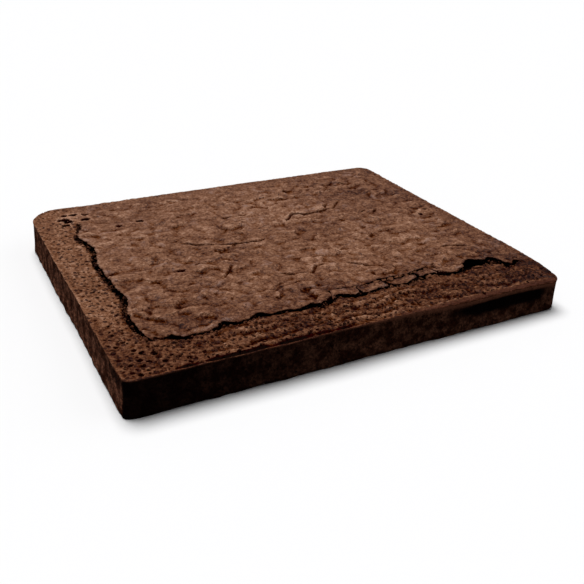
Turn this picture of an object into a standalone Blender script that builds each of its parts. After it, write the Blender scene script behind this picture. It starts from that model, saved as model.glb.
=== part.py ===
"""A tray-baked brownie slab, uncut and turned out of its tin, as one solid.

The slab is modelled in metres with +Z up. The origin is the centre of the flat underside,
X runs along the long front side and Y towards the back. The crust has split along a line
that follows the left (-X) and front (-Y) sides, where the risen middle tore from the rim.

Every length below is in millimetres. Points are turned into metres when the mesh is written.
"""

import random

import bmesh
import bpy
import numpy as np
from mathutils import noise

METRES_PER_MM = 0.001

# Size of the baked slab, from rim to rim. Its foot spreads past the rim on the left and right.
LENGTH = 305.0
DEPTH = 255.0
RIM_HEIGHT = 23.75
CORNER_RADIUS = {(-1, -1): 7.0, (1, -1): 8.0, (1, 1): 8.0, (-1, 1): 23.0}
RIGHT_TAPER = 3.0
TAPER_FROM = 70.0

# Fineness of the blank, and how many triangles the finished solid keeps
CELL = 1.5
SOLID_TRIANGLES = 11200

# Wall of the slab, as it left the tin
FOOT_SPREAD_LEFT = 1.8
FOOT_SPREAD_RIGHT = 1.3
FOOT_SPREAD_FRONT = 0.3
WALL_HOLLOW = 0.35
WALL_ROUGHNESS = 0.35
WALL_SPACING = 9.0
FOOT_SPACING = 22.0
WALL_LEVELS = (0.975, 0.95, 0.92, 0.87, 0.79, 0.7, 0.6, 0.48, 0.36, 0.24, 0.13, 0.06, 0.02, 0.0)
LIP_OVERHANG = 0.25
LIP_SHARE = 0.93
FOOT_ROUND = 0.8
FOOT_ROUND_SHARE = (-0.02, 0.09)
FRONT_RIGHT_FOOT = 2.5
CORNER_REACH = 14.0
OUTLINE_WANDER = 0.5
OUTLINE_SPACING = 55.0
EDGE_REACH = 12.0
UNDERSIDE_BAND = 0.1

# Towards the front right corner the wall has shrunk back under the lip, but not at the corner
SHRUNK_FROM = (38.0, 95.0)
SHRUNK_TO = (128.0, 146.0)
SHRUNK_OVERHANG = 0.9
SHRUNK_HOLLOW = 1.9
SHRUNK_AT = 0.68
SHRUNK_SPREAD = 0.2
SHRUNK_REACH = (8.0, 40.0)

# Rim: the thin lip that climbed the tin, and the broken gutter inside it on the front left
LIP_RISE = 0.5
LIP_WIDTH = 1.3
LIP_SPACING = 30.0
GUTTER_DEPTH = 0.9
GUTTER_AT = 3.6
GUTTER_WIDTH = 1.8
GUTTER_SPACING = 12.0
GUTTER_ENDS = (-45.0, 15.0)
GUTTER_REACH = (8.0, 16.0)
RIGHT_SHOULDER = 0.4
SHOULDER_WIDTH = 9.0

# Front band of the rim: folds that run with the edge, as (length, width)
FOLD_HEIGHT = 2.2
FOLD_SIZE = (30.0, 8.0)
FOLD_BAND = (-102.0, -94.0)
FOLD_INSET = (3.0, 8.0)

# Middle of the crust: its swell, its puffed wrinkles, and how it curls up beside the cracks
PLATE_SWELL = 0.7
SWELL_SPACING = (75.0, 34.0)
WRINKLE_HEIGHT = 2.0
WRINKLE_SPACING = (19.0, 9.0)
PLATE_CURL = 1.0
PLATE_CURL_REACH = 9.0
RIM_DIP = 0.4
MIDDLE_INSET = (2.0, 16.0)
WRINKLE_SHARE_ON_RIM = 0.35
STRIP_DROP = 1.4
STRIP_ENDS = (0.0, 12.0, 62.0, 78.0)

# Cracks, as routes of (x, y, width). Deep ones go through the crust, creases only fold it.
CRACK_DEPTH = 7.5
CRACK_STEEPNESS = 0.5
CRACK_HALF_WIDTH = 0.6
JAG = 0.8
JAG_SPACING = (5.0, 2.4)
LEFT_CRACK = [
    (-122, 91, 2.4), (-124, 83, 2.4), (-128, 73, 1.0), (-130, 64, 3.2), (-126, 51, 2.8),
    (-125, 43, 5.0), (-125, 35, 2.8), (-129, 18, 3.8), (-129, -1, 3.8), (-128, -21, 3.6),
    (-126, -38, 5.4), (-128, -48, 4.6), (-131, -57, 3.6), (-131, -73, 4.6), (-130, -82, 3.2),
    (-127, -91, 1.8), (-122, -94, 1.4),
]
FRONT_CRACK = [
    (-119, -92, 2.0), (-114, -93, 4.0), (-109, -98, 3.4), (-102, -96, 1.8), (-94, -97, 2.4),
    (-87, -95, 3.4), (-81, -92, 5.6), (-75, -94, 2.6), (-66, -93, 2.8), (-60, -90, 5.0),
    (-52, -93, 2.8), (-41, -93, 3.6), (-33, -95, 3.0), (-25, -93, 4.6), (-19, -96, 4.6),
    (-10, -93, 3.2), (-3, -89, 4.0), (7, -94, 3.4), (17, -92, 4.0), (38, -91, 4.2),
    (47, -94, 3.4), (56, -90, 4.0), (72, -87, 4.8), (77, -91, 2.6), (88, -93, 2.2),
    (97, -91, 3.4), (104, -88, 7.0), (111, -85, 11.0), (123, -86, 8.6), (124, -93, 4.4),
    (129, -98, 2.8), (138, -95, 2.2), (143, -93, 1.4),
]
UPPER_CRACK = [
    (-7, -80, 1.0), (7, -81, 2.0), (19, -83, 1.6), (29, -82, 3.0), (38, -80, 2.4),
    (57, -80, 2.6), (67, -79, 2.0), (74, -77, 2.8),
]
CROSS_CRACK = [(34, -81, 3.6), (36, -87, 4.6), (38, -91, 3.6)]
DEEP_CRACKS = (LEFT_CRACK, FRONT_CRACK, UPPER_CRACK, CROSS_CRACK)

CREASE_DEPTH = 1.9
CREASES = (
    [(22, 34, 3.0), (35, 47, 3.4), (43, 43, 3.0), (53, 44, 2.6), (72, 47, 2.4), (85, 60, 2.4)],
    [(64, 47, 2.4), (68, 53, 2.2), (75, 60, 2.0)],
    [(-66, 29, 3.0), (-51, 19, 3.2), (-34, 12, 2.8), (-13, 7, 2.4), (-4, 13, 2.4)],
    [(-22, 63, 3.0), (-16, 60, 3.2), (-6, 59, 2.6), (3, 60, 2.0)],
    [(-32, -59, 2.2), (-22, -57, 2.4)],
    [(-25, -44, 3.2), (-13, -49, 2.4), (-1, -52, 3.0), (5, -45, 2.4), (15, -43, 2.2)],
    [(27, -45, 2.0), (34, -53, 2.6), (44, -60, 2.4)],
    [(103, -53, 2.4), (110, -52, 2.6), (118, -55, 3.0), (125, -61, 2.6)],
    [(62, 18, 3.2), (70, 23, 2.4)],
    [(87, 29, 3.0), (95, 34, 2.4)],
    [(96, 25, 3.2), (106, 34, 2.4)],
    [(-60, -38, 2.4), (-52, -29, 2.6), (-45, -19, 2.4)],
    [(-68, -68, 2.4), (-63, -62, 2.4)],
    [(36, -65, 2.6), (34, -76, 3.0)],
)

# Holes torn in the crust, as (x, y, width)
TORN_HOLES = (
    (-129, 102, 4.5), (-129, 96, 5.0), (-117, 99, 4.0), (-123, 110, 4.0), (-113, 109, 3.0),
    (-92, 110, 3.4), (-78, 81, 4.0), (-96, 78, 3.4), (-81, -16, 3.8), (129, 6, 3.4), (140, 15, 3.2),
)
HOLE_DEPTH = 3.0

# Burst bubbles of the rim: the largest ones, which crowd towards the front left corner
PIT_SEED = 11
PIT_TRIES = 900
PITS_AT_MOST = 110
PIT_WIDTH = (2.2, 3.6)
PIT_DEPTH = 1.5
PIT_EDGE_MARGIN = 6.0
PIT_CROWDING_REACH = 55.0
RIM_BAND = (-134.0, -103.0)

# Where each kind of unevenness is read in the same field of random waves
NOISE_LEVEL = {
    "lip": 3.0, "gutter": 4.0, "fold": 5.0, "swell": 21.0, "small swell": 22.0,
    "torn edge": 31.0, "fine torn edge": 32.0, "wrinkle": 41.0, "small wrinkle": 42.0,
    "wall": 51.0, "foot": 52.0, "outline": 61.0,
}

# Colour and finish of the crust
CRUST_COLOUR = (0.115, 0.054, 0.030, 1.0)
CRUST_ROUGHNESS = 0.72


def clear_scene():
    """Removes whatever the file opened with."""
    for found in list(bpy.data.objects):
        bpy.data.objects.remove(found, do_unlink=True)


def smooth_step(value, low, high):
    """0 below low, 1 above high, and an even S between them."""
    share = np.clip((value - low) / (high - low), 0.0, 1.0)
    return share * share * (3.0 - 2.0 * share)


def bump(value, centre, spread):
    """1 at the centre, and falling away evenly on both sides of it."""
    return np.exp(-(((value - centre) / spread) ** 2))


def noise_field(points, wavelength, kind):
    """Soft random waves, about -1 to 1, at each of the points."""
    places = points / wavelength + np.array((0.0, 0.0, NOISE_LEVEL[kind]))
    return np.array([noise.noise(place) for place in places.tolist()])


def along_route(x, y, route):
    """The distance from each point to the route, and the route's width where it is nearest."""
    nearest = np.full(len(x), np.inf)
    width = np.zeros(len(x))
    for (x0, y0, width0), (x1, y1, width1) in zip(route, route[1:]):
        dx, dy = x1 - x0, y1 - y0
        share = np.clip(((x - x0) * dx + (y - y0) * dy) / (dx * dx + dy * dy), 0.0, 1.0)
        gap = np.hypot(x - x0 - share * dx, y - y0 - share * dy)
        closer = gap < nearest
        nearest = np.where(closer, gap, nearest)
        width = np.where(closer, width0 + share * (width1 - width0), width)
    return nearest, width


def crack_x(y):
    """Where the left crack runs at each y."""
    return np.interp(y, *np.array([(p[1], p[0]) for p in reversed(LEFT_CRACK)]).T)


def crack_y(x, route):
    """Where a crack that runs from left to right lies at each x."""
    return np.interp(x, *np.array([(p[0], p[1]) for p in route]).T)


def make_blank():
    """A flat grid with walls of stacked rings and one face below.

    Returns the bmesh and each vertex's share of the slab's height, 1 on top and 0 below.
    """
    blank = bmesh.new()
    columns = round(LENGTH / CELL)
    rows = round(DEPTH / CELL)
    bmesh.ops.create_grid(blank, x_segments=columns, y_segments=rows, size=0.5)
    bmesh.ops.scale(blank, vec=(LENGTH, DEPTH, 1.0), verts=blank.verts)
    height_share = blank.verts.layers.float.new("height_share")
    for vertex in blank.verts:
        vertex[height_share] = 1.0
    ring = [edge for edge in blank.edges if edge.is_boundary]
    for level in WALL_LEVELS:
        grown = bmesh.ops.extrude_edge_only(blank, edges=ring)["geom"]
        ring = [part for part in grown if isinstance(part, bmesh.types.BMEdge) and part.is_boundary]
        for vertex in {v for edge in ring for v in edge.verts}:
            vertex[height_share] = level
    bmesh.ops.edgeloop_fill(blank, edges=ring)
    bmesh.ops.recalc_face_normals(blank, faces=blank.faces)
    blank.verts.index_update()
    return blank, np.array([vertex[height_share] for vertex in blank.verts])


def round_corners(x, y):
    """Maps the rectangle onto one with round corners.

    Also returns the way out, as a unit direction, and how far in from the outline each point is.
    """
    round_x, round_y = x.copy(), y.copy()
    inwards_x, inwards_y = LENGTH / 2 - np.abs(x), DEPTH / 2 - np.abs(y)
    out_x = np.where(inwards_x <= inwards_y, np.sign(x), 0.0)
    out_y = np.where(inwards_x <= inwards_y, 0.0, np.sign(y))
    inset = np.minimum(inwards_x, inwards_y)
    for (side_x, side_y), radius in CORNER_RADIUS.items():
        across = (side_x * x - (LENGTH / 2 - radius)) / radius
        along = (side_y * y - (DEPTH / 2 - radius)) / radius
        corner = (across > 0) & (along > 0)
        u = across * np.sqrt(1 - np.clip(along, 0, 1) ** 2 / 2)
        v = along * np.sqrt(1 - np.clip(across, 0, 1) ** 2 / 2)
        reach = np.maximum(np.hypot(u, v), 1e-6)
        round_x = np.where(corner, side_x * (LENGTH / 2 - radius + radius * u), round_x)
        round_y = np.where(corner, side_y * (DEPTH / 2 - radius + radius * v), round_y)
        out_x = np.where(corner, side_x * u / reach, out_x)
        out_y = np.where(corner, side_y * v / reach, out_y)
        inset = np.where(corner, radius * (1 - reach), inset)
    taper = RIGHT_TAPER * smooth_step(-round_y, TAPER_FROM, DEPTH / 2)
    round_x = round_x - taper * smooth_step(round_x, LENGTH / 4, LENGTH / 2)
    return round_x, round_y, out_x, out_y, inset


def rim_relief(x, y, inset, flat):
    """The lip, the broken gutter inside it, the folds of the front band and the right shoulder."""
    unevenness = np.clip(0.8 + 1.1 * noise_field(flat, LIP_SPACING, "lip"), 0.0, 1.6)
    broken = np.clip(0.5 + 1.8 * noise_field(flat, GUTTER_SPACING, "gutter"), 0.0, 1.4)
    lip = LIP_RISE * unevenness * bump(inset, 0.0, LIP_WIDTH)
    gutter = GUTTER_DEPTH * broken * bump(inset, GUTTER_AT, GUTTER_WIDTH)
    near, far = GUTTER_REACH
    gutter *= smooth_step(-y, DEPTH / 2 - far, DEPTH / 2 - near)
    gutter *= 1 - smooth_step(x, *GUTTER_ENDS)
    length, width = FOLD_SIZE
    along_edge = np.stack([x * width / length, y, np.zeros(len(x))], axis=1)
    folds = FOLD_HEIGHT * (np.abs(noise_field(along_edge, width, "fold")) - 0.25)
    on_front_band = (1 - smooth_step(y, *FOLD_BAND)) * smooth_step(inset, *FOLD_INSET)
    shoulder = RIGHT_SHOULDER * smooth_step(x, LENGTH / 2 - SHOULDER_WIDTH, LENGTH / 2)
    return lip - gutter + folds * on_front_band - shoulder


def plate_relief(x, y, flat):
    """The risen middle: gentle swells, and edges that curl up along the two main cracks."""
    swell = noise_field(flat, SWELL_SPACING[0], "swell")
    swell += 0.5 * noise_field(flat, SWELL_SPACING[1], "small swell")
    on_plate = (x > crack_x(y)) & (y > crack_y(x, FRONT_CRACK))
    curl = np.zeros(len(x))
    for route in (LEFT_CRACK, FRONT_CRACK):
        gap, width = along_route(x, y, route)
        lift = PLATE_CURL * np.clip(width / 3.0, 0, 1) * np.exp(-gap / PLATE_CURL_REACH)
        curl = np.maximum(curl, lift)
    return PLATE_SWELL * swell + np.where(on_plate, curl, -RIM_DIP * curl)


def wrinkle_relief(flat):
    """Puffed wrinkles with sharp valleys between them."""
    wrinkle = np.abs(noise_field(flat, WRINKLE_SPACING[0], "wrinkle"))
    wrinkle += 0.5 * np.abs(noise_field(flat, WRINKLE_SPACING[1], "small wrinkle"))
    return WRINKLE_HEIGHT * (wrinkle - 0.3)


def strip_relief(x, y):
    """The broken strip of crust between the front crack and the upper one has sunk."""
    ends = smooth_step(x, *STRIP_ENDS[:2]) * (1 - smooth_step(x, *STRIP_ENDS[2:]))
    inside = (y > crack_y(x, FRONT_CRACK)) & (y < crack_y(x, UPPER_CRACK))
    return -STRIP_DROP * ends * inside


def crack_relief(x, y, flat):
    """The deep cracks, with torn edges, and the creases of the crust."""
    torn = noise_field(flat, JAG_SPACING[0], "torn edge")
    torn = JAG * (torn + 0.6 * noise_field(flat, JAG_SPACING[1], "fine torn edge"))
    cut = np.zeros(len(x))
    for route in DEEP_CRACKS:
        gap, width = along_route(x, y, route)
        half = np.maximum(width / 2 + torn, CRACK_HALF_WIDTH)
        share = 1 - smooth_step(gap, half * CRACK_STEEPNESS, half + CRACK_HALF_WIDTH)
        cut = np.maximum(cut, share * np.minimum(CRACK_DEPTH, 1.3 * width + 2.4))
    for route in CREASES:
        gap, width = along_route(x, y, route)
        share = 1 - smooth_step(gap, 0.0, width * 0.7 + 0.6 * torn)
        cut = np.maximum(cut, share * CREASE_DEPTH * width / 3.0)
    return -cut


def hole_relief(x, y):
    """Torn holes, and the largest burst bubbles of the rim."""
    cut = np.zeros(len(x))
    for hole_x, hole_y, width in TORN_HOLES:
        share = 1 - smooth_step(np.hypot(x - hole_x, y - hole_y), width * 0.2, width * 0.6)
        cut = np.maximum(cut, HOLE_DEPTH * share)
    for pit_x, pit_y, width in rim_pits():
        share = 1 - smooth_step(np.hypot(x - pit_x, y - pit_y), width * 0.1, width * 0.6)
        cut = np.maximum(cut, PIT_DEPTH * share * width / PIT_WIDTH[1])
    return -cut


def rim_pits():
    """Places and widths of the pits. They crowd towards the front left corner and keep apart."""
    draw = random.Random(PIT_SEED)
    pits = []
    for _ in range(PIT_TRIES):
        x = draw.uniform(-LENGTH / 2, LENGTH / 2)
        y = draw.uniform(-DEPTH / 2, DEPTH / 2)
        width = draw.uniform(*PIT_WIDTH)
        inset = min(LENGTH / 2 - abs(x), DEPTH / 2 - abs(y))
        on_band = x < RIM_BAND[0] or y < RIM_BAND[1]
        corner = np.hypot(x + LENGTH / 2, y + DEPTH / 2)
        crowding = 0.18 + 0.82 * np.exp(-corner / PIT_CROWDING_REACH)
        apart = all(np.hypot(x - px, y - py) > 0.9 * (width + pw) for px, py, pw in pits)
        if on_band and inset > PIT_EDGE_MARGIN and draw.random() < crowding and apart:
            pits.append((x, y, width))
        if len(pits) == PITS_AT_MOST:
            break
    return pits


def top_height(x, y, inset):
    """Height of the baked surface above the underside."""
    flat = np.stack([x, y, np.zeros(len(x))], axis=1)
    on_plate = smooth_step(x - crack_x(y), 0, 4) * smooth_step(y - crack_y(x, FRONT_CRACK), 0, 4)
    middle = smooth_step(inset, *MIDDLE_INSET)
    wrinkle_share = WRINKLE_SHARE_ON_RIM + (1 - WRINKLE_SHARE_ON_RIM) * on_plate
    height = RIM_HEIGHT + rim_relief(x, y, inset, flat)
    height += middle * (plate_relief(x, y, flat) + strip_relief(x, y))
    height += middle * wrinkle_share * wrinkle_relief(flat)
    return height + crack_relief(x, y, flat) + hole_relief(x, y)


def wall_inset(share, x, y, z):
    """How far the wall stands in from the outline at a share of the slab's height."""
    shrunk = smooth_step(x, *SHRUNK_FROM) * (1 - smooth_step(x, *SHRUNK_TO))
    near, far = SHRUNK_REACH
    shrunk *= smooth_step(-y, DEPTH / 2 - far, DEPTH / 2 - near)
    overhang = LIP_OVERHANG + SHRUNK_OVERHANG * shrunk * smooth_step(share, 0.1, 0.5)
    under_lip = overhang * (1 - smooth_step(share, LIP_SHARE, 1.0))
    hollow = WALL_HOLLOW * bump(share, 0.5, 0.3)
    hollow += SHRUNK_HOLLOW * shrunk * bump(share, SHRUNK_AT, SHRUNK_SPREAD)
    solid = np.stack([x, y, z], axis=1)
    to_corner = np.hypot(x - LENGTH / 2, y + DEPTH / 2)
    foot_swing = 1 + 1.2 * noise_field(solid, FOOT_SPACING, "foot")
    foot_swing += FRONT_RIGHT_FOOT * np.exp(-((to_corner / CORNER_REACH) ** 2))
    foot = FOOT_ROUND * foot_swing * (1 - smooth_step(share, *FOOT_ROUND_SHARE)) ** 2
    rough = WALL_ROUGHNESS * (1 - share) ** 0.2 * noise_field(solid, WALL_SPACING, "wall")
    return under_lip + hollow + foot + rough


def foot_spread(share, out_x, out_y):
    """How far the wall stands out past the rim: most at the foot, and less round the corners."""
    spread = FOOT_SPREAD_LEFT * np.maximum(-out_x, 0) ** 3
    spread += FOOT_SPREAD_RIGHT * np.maximum(out_x, 0) ** 3
    spread += FOOT_SPREAD_FRONT * np.maximum(-out_y, 0) ** 3
    return (1 - share) * spread


def shape_slab(x, y, share):
    """Moves the blank's vertices to the baked form."""
    x, y, out_x, out_y, inset = round_corners(x, y)
    flat = np.stack([x, y, np.zeros(len(x))], axis=1)
    z = share * top_height(x, y, inset)
    wander = OUTLINE_WANDER * noise_field(flat, OUTLINE_SPACING, "outline")
    outwards = wander + foot_spread(share, out_x, out_y) - (share < 1) * wall_inset(share, x, y, z)
    outwards *= np.exp(-inset / EDGE_REACH)
    points = np.stack([x + out_x * outwards, y + out_y * outwards, z], axis=1)
    middle = (points.min(axis=0) + points.max(axis=0)) / 2
    points[:, :2] -= middle[:2]
    return points * METRES_PER_MM


def crust_material():
    """Baked chocolate crust: dark brown, rough and not metallic."""
    material = bpy.data.materials.new("baked_crust")
    material.use_nodes = True
    finish = material.node_tree.nodes["Principled BSDF"]
    finish.inputs["Base Color"].default_value = CRUST_COLOUR
    finish.inputs["Roughness"].default_value = CRUST_ROUGHNESS
    finish.inputs["Metallic"].default_value = 0.0
    return material


def thinned(slab):
    """The slab's mesh with the triangles that its relief needs, and its underside pressed flat."""
    thin = slab.modifiers.new("keep the relief, merge the flats", "DECIMATE")
    thin.decimate_type = "COLLAPSE"
    thin.ratio = SOLID_TRIANGLES / len(slab.data.polygons)
    graph = bpy.context.evaluated_depsgraph_get()
    mesh = bpy.data.meshes.new_from_object(slab.evaluated_get(graph))
    slab.modifiers.remove(thin)
    for vertex in mesh.vertices:
        if vertex.co.z < UNDERSIDE_BAND * METRES_PER_MM:
            vertex.co.z = 0.0
    mesh.name = slab.name
    return mesh


def make_slab():
    """The slab as a named object."""
    blank, share = make_blank()
    start = np.array([vertex.co for vertex in blank.verts])
    points = shape_slab(start[:, 0], start[:, 1], share)
    for vertex, point in zip(blank.verts, points):
        vertex.co = point
    bmesh.ops.triangulate(blank, faces=blank.faces)
    mesh = bpy.data.meshes.new("brownie_slab")
    blank.to_mesh(mesh)
    blank.free()
    mesh.materials.append(crust_material())
    slab = bpy.data.objects.new("brownie_slab", mesh)
    bpy.context.scene.collection.objects.link(slab)
    slab.data = thinned(slab)
    bpy.data.meshes.remove(mesh)
    return slab


def main():
    clear_scene()
    slab = make_slab()
    print(f"{slab.name}: {len(slab.data.polygons)} triangles")


main()
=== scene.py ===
# %% [markdown]
# A tray-baked brownie slab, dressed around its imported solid.
# The real thing is one slab of soft crumb under a thin, brittle crust. While it baked, the middle
# rose and tore away from the rim along the left and front sides. So this lesson makes the crumb
# with its rim and walls, the risen crust as a thin shell whose torn edges overhang the cracks,
# the broken strip of crust between the two front cracks, and loose flakes and crumbs.

# %% The frame
import math
import random

import bpy
import numpy as np
from mathutils import Matrix, Vector, noise


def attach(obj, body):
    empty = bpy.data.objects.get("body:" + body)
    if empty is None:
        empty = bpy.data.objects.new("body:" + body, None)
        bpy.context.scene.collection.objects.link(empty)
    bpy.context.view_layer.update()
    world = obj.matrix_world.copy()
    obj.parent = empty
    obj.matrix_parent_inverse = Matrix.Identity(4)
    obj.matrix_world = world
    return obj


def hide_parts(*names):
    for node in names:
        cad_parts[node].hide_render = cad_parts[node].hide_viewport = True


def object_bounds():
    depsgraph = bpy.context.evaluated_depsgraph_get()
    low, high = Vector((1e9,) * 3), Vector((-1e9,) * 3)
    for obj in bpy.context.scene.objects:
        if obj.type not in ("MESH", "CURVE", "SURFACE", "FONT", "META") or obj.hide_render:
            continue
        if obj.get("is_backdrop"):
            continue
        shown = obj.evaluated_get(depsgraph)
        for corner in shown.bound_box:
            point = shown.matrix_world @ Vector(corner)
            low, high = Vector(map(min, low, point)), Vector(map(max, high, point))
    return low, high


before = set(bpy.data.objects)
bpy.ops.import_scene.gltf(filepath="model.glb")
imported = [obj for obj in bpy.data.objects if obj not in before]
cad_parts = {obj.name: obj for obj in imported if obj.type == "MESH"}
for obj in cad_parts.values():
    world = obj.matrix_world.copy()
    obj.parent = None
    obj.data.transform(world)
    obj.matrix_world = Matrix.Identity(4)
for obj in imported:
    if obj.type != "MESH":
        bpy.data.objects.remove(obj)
cad_low, cad_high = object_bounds()
MM = 0.001
print("CAD box in mm:", [round(side / MM, 1) for side in cad_high - cad_low])

# %% [markdown]
# The camera stands in front of the torn corner and looks down on the slab. It could be placed by
# eye. Here its place and turn were worked out from the slab's straight edges, so that each crack
# can be set against the photograph point by point.

# %% Camera
IMAGE_SIDE = 584
FOCAL_PIXELS = 761.1
SENSOR = 36.0
CAMERA_PLACE = Vector((-230.50, -448.65, 243.68)) * MM
CAMERA_AZIMUTH = math.radians(-28.383)
CAMERA_ELEVATION = math.radians(27.206)
CAMERA_ROLL = math.radians(1.937)


def make_camera():
    back = Vector((
        math.sin(CAMERA_AZIMUTH) * math.cos(CAMERA_ELEVATION),
        -math.cos(CAMERA_AZIMUTH) * math.cos(CAMERA_ELEVATION),
        math.sin(CAMERA_ELEVATION),
    ))
    level = Vector((math.cos(CAMERA_AZIMUTH), math.sin(CAMERA_AZIMUTH), 0.0))
    turned = Matrix.Rotation(CAMERA_ROLL, 3, back)
    side, up = turned @ level, turned @ back.cross(level)
    lens = bpy.data.cameras.new("camera")
    lens.sensor_width = SENSOR
    lens.lens = FOCAL_PIXELS / IMAGE_SIDE * SENSOR
    lens.clip_start = 0.01
    camera = bpy.data.objects.new("camera", lens)
    bpy.context.scene.collection.objects.link(camera)
    turn = Matrix((side, up, back)).transposed().to_4x4()
    camera.matrix_world = Matrix.Translation(CAMERA_PLACE) @ turn
    bpy.context.scene.camera = camera


make_camera()
print("camera at, in mm:", [round(v / MM) for v in CAMERA_PLACE])

# %% [markdown]
# The slab lies on a plain pale floor. A white floor also throws light back up at the walls, which
# would make the front wall pale. So the camera sees a white floor, and the slab is lit by a dark one.

# %% Floor
FLOOR_SIDE = 12.0
FLOOR_WHITE = (0.92, 0.92, 0.925, 1)
FLOOR_BOUNCE = 0.08


def new_material(name):
    material = bpy.data.materials.new(name)
    material.use_nodes = True
    material.node_tree.nodes.clear()
    return material, material.node_tree


def seen_apart(tree, lit, seen, output_kind):
    """The camera sees one shader, and everything else is lit by the other."""
    path = tree.nodes.new("ShaderNodeLightPath")
    mix = tree.nodes.new("ShaderNodeMixShader")
    out = tree.nodes.new(output_kind)
    tree.links.new(path.outputs["Is Camera Ray"], mix.inputs["Fac"])
    tree.links.new(lit.outputs[0], mix.inputs[1])
    tree.links.new(seen.outputs[0], mix.inputs[2])
    tree.links.new(mix.outputs[0], out.inputs["Surface"])


def make_floor():
    bpy.ops.mesh.primitive_plane_add(size=FLOOR_SIDE)
    floor = bpy.context.object
    floor.name = "floor"
    material, tree = new_material("pale floor")
    seen = tree.nodes.new("ShaderNodeBsdfDiffuse")
    seen.inputs["Color"].default_value = FLOOR_WHITE
    bounced = tree.nodes.new("ShaderNodeBsdfDiffuse")
    bounced.inputs["Color"].default_value = (FLOOR_BOUNCE, FLOOR_BOUNCE, FLOOR_BOUNCE, 1)
    seen_apart(tree, bounced, seen, "ShaderNodeOutputMaterial")
    floor.data.materials.append(material)
    floor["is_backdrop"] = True
    print("floor:", FLOOR_SIDE, "m wide")


make_floor()

# %% [markdown]
# One broad soft light stands high behind the left end, so the top and the left wall are lit and the
# front wall stays almost black. A weak one fills the right end. Area lights would do as well, but
# suns light the whole floor evenly, and their angle alone sets how soft the shadow is.

# %% Light
KEY_FROM = (-0.03, 0.28, 0.96)
KEY_STRENGTH = 3.1
KEY_ANGLE = math.radians(38)
FILL_FROM = (0.9, -0.25, 0.5)
FILL_STRENGTH = 0.25
FILL_ANGLE = math.radians(60)
SKY_LIGHT = 0.10


def make_sun(name, comes_from, strength, angle):
    light = bpy.data.lights.new(name, "SUN")
    light.energy = strength
    light.angle = angle
    sun = bpy.data.objects.new(name, light)
    sun.rotation_mode = "QUATERNION"
    sun.rotation_quaternion = Vector(comes_from).to_track_quat("Z", "Y")
    bpy.context.scene.collection.objects.link(sun)
    print(name, "strength", strength)


def make_sky():
    world = bpy.data.worlds.new("studio")
    bpy.context.scene.world = world
    world.use_nodes = True
    tree = world.node_tree
    tree.nodes.clear()
    seen = tree.nodes.new("ShaderNodeBackground")
    lit = tree.nodes.new("ShaderNodeBackground")
    lit.inputs["Strength"].default_value = SKY_LIGHT
    for background in (seen, lit):
        background.inputs["Color"].default_value = (1, 1, 1, 1)
    seen_apart(tree, lit, seen, "ShaderNodeOutputWorld")


make_sun("key light", KEY_FROM, KEY_STRENGTH, KEY_ANGLE)
make_sun("fill light", FILL_FROM, FILL_STRENGTH, FILL_ANGLE)
make_sky()
bpy.context.scene.view_settings.view_transform = "Standard"

# %% [markdown]
# The form could be sculpted by hand, but then it wouldn't match the solid. So it is worked out by
# the same rules, with the same sizes in millimetres, only on a finer grid. First comes the slab's size.

# %% Size of the slab
LENGTH = 305.0
DEPTH = 255.0
RIM_HEIGHT = 23.75
CORNER_RADIUS = {(-1, -1): 4.5, (1, -1): 8.0, (1, 1): 8.0, (-1, 1): 23.0}
print("rim in mm:", LENGTH, "by", DEPTH, "by", RIM_HEIGHT)

# %% [markdown]
# These are the small tools that every form below is worked out with. Each takes arrays of x and y in
# millimetres and gives back an array, so a whole surface is shaped in one call. Every kind of
# unevenness reads the same field of random waves, each at a level of its own.

# %% Tools for shaping
NOISE_LEVEL = {
    "lip": 3.0, "gutter": 4.0, "fold": 5.0, "fold sway": 6.0, "swell": 21.0, "small swell": 22.0,
    "torn edge": 31.0, "fine torn edge": 32.0, "far torn edge": 33.0, "ragged edge": 34.0,
    "bridge": 35.0, "wrinkle": 41.0, "small wrinkle": 42.0, "wall": 51.0, "foot": 52.0,
    "outline": 61.0, "uneven edge": 62.0, "crumb": 71.0, "fine crumb": 72.0, "lump": 73.0,
    "pucker": 81.0, "grain": 82.0, "flake warp x": 85.0, "flake warp y": 86.0, "flaky": 87.0,
    "smooth patch": 88.0, "curl": 95.0,
}


def smooth_step(value, low, high):
    share = np.clip((value - low) / (high - low), 0.0, 1.0)
    return share * share * (3.0 - 2.0 * share)


def bump(value, centre, spread):
    return np.exp(-(((value - centre) / spread) ** 2))


def noise_field(points, wavelength, kind):
    places = points / wavelength + np.array((0.0, 0.0, NOISE_LEVEL[kind]))
    return np.array([noise.noise(place) for place in places.tolist()])


def along_route(x, y, route):
    nearest = np.full(len(x), np.inf)
    width = np.zeros(len(x))
    for (x0, y0, width0), (x1, y1, width1) in zip(route, route[1:]):
        dx, dy = x1 - x0, y1 - y0
        share = np.clip(((x - x0) * dx + (y - y0) * dy) / (dx * dx + dy * dy), 0.0, 1.0)
        gap = np.hypot(x - x0 - share * dx, y - y0 - share * dy)
        closer = gap < nearest
        nearest = np.where(closer, gap, nearest)
        width = np.where(closer, width0 + share * (width1 - width0), width)
    return nearest, width


def across_route(along, across, route, along_first):
    """How far across a route each point lies, plus on the plate's side, and the route's width there.
    The width is 0 past the route's ends."""
    turned = ((p[0], p[1], p[2]) if along_first else (p[1], p[0], p[2]) for p in route)
    knots = np.array(sorted(turned), float)
    centre = np.interp(along, knots[:, 0], knots[:, 1])
    ahead = np.interp(along + 1, knots[:, 0], knots[:, 1])
    slope = (ahead - np.interp(along - 1, knots[:, 0], knots[:, 1])) / 2
    width = np.interp(along, knots[:, 0], knots[:, 2], left=0.0, right=0.0)
    return (across - centre) / np.sqrt(1 + slope ** 2), width


def across_left(x, y):
    return across_route(y, x, LEFT_CRACK, False)


def across_front(x, y):
    return across_route(x, y, FRONT_CRACK, True)


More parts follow.
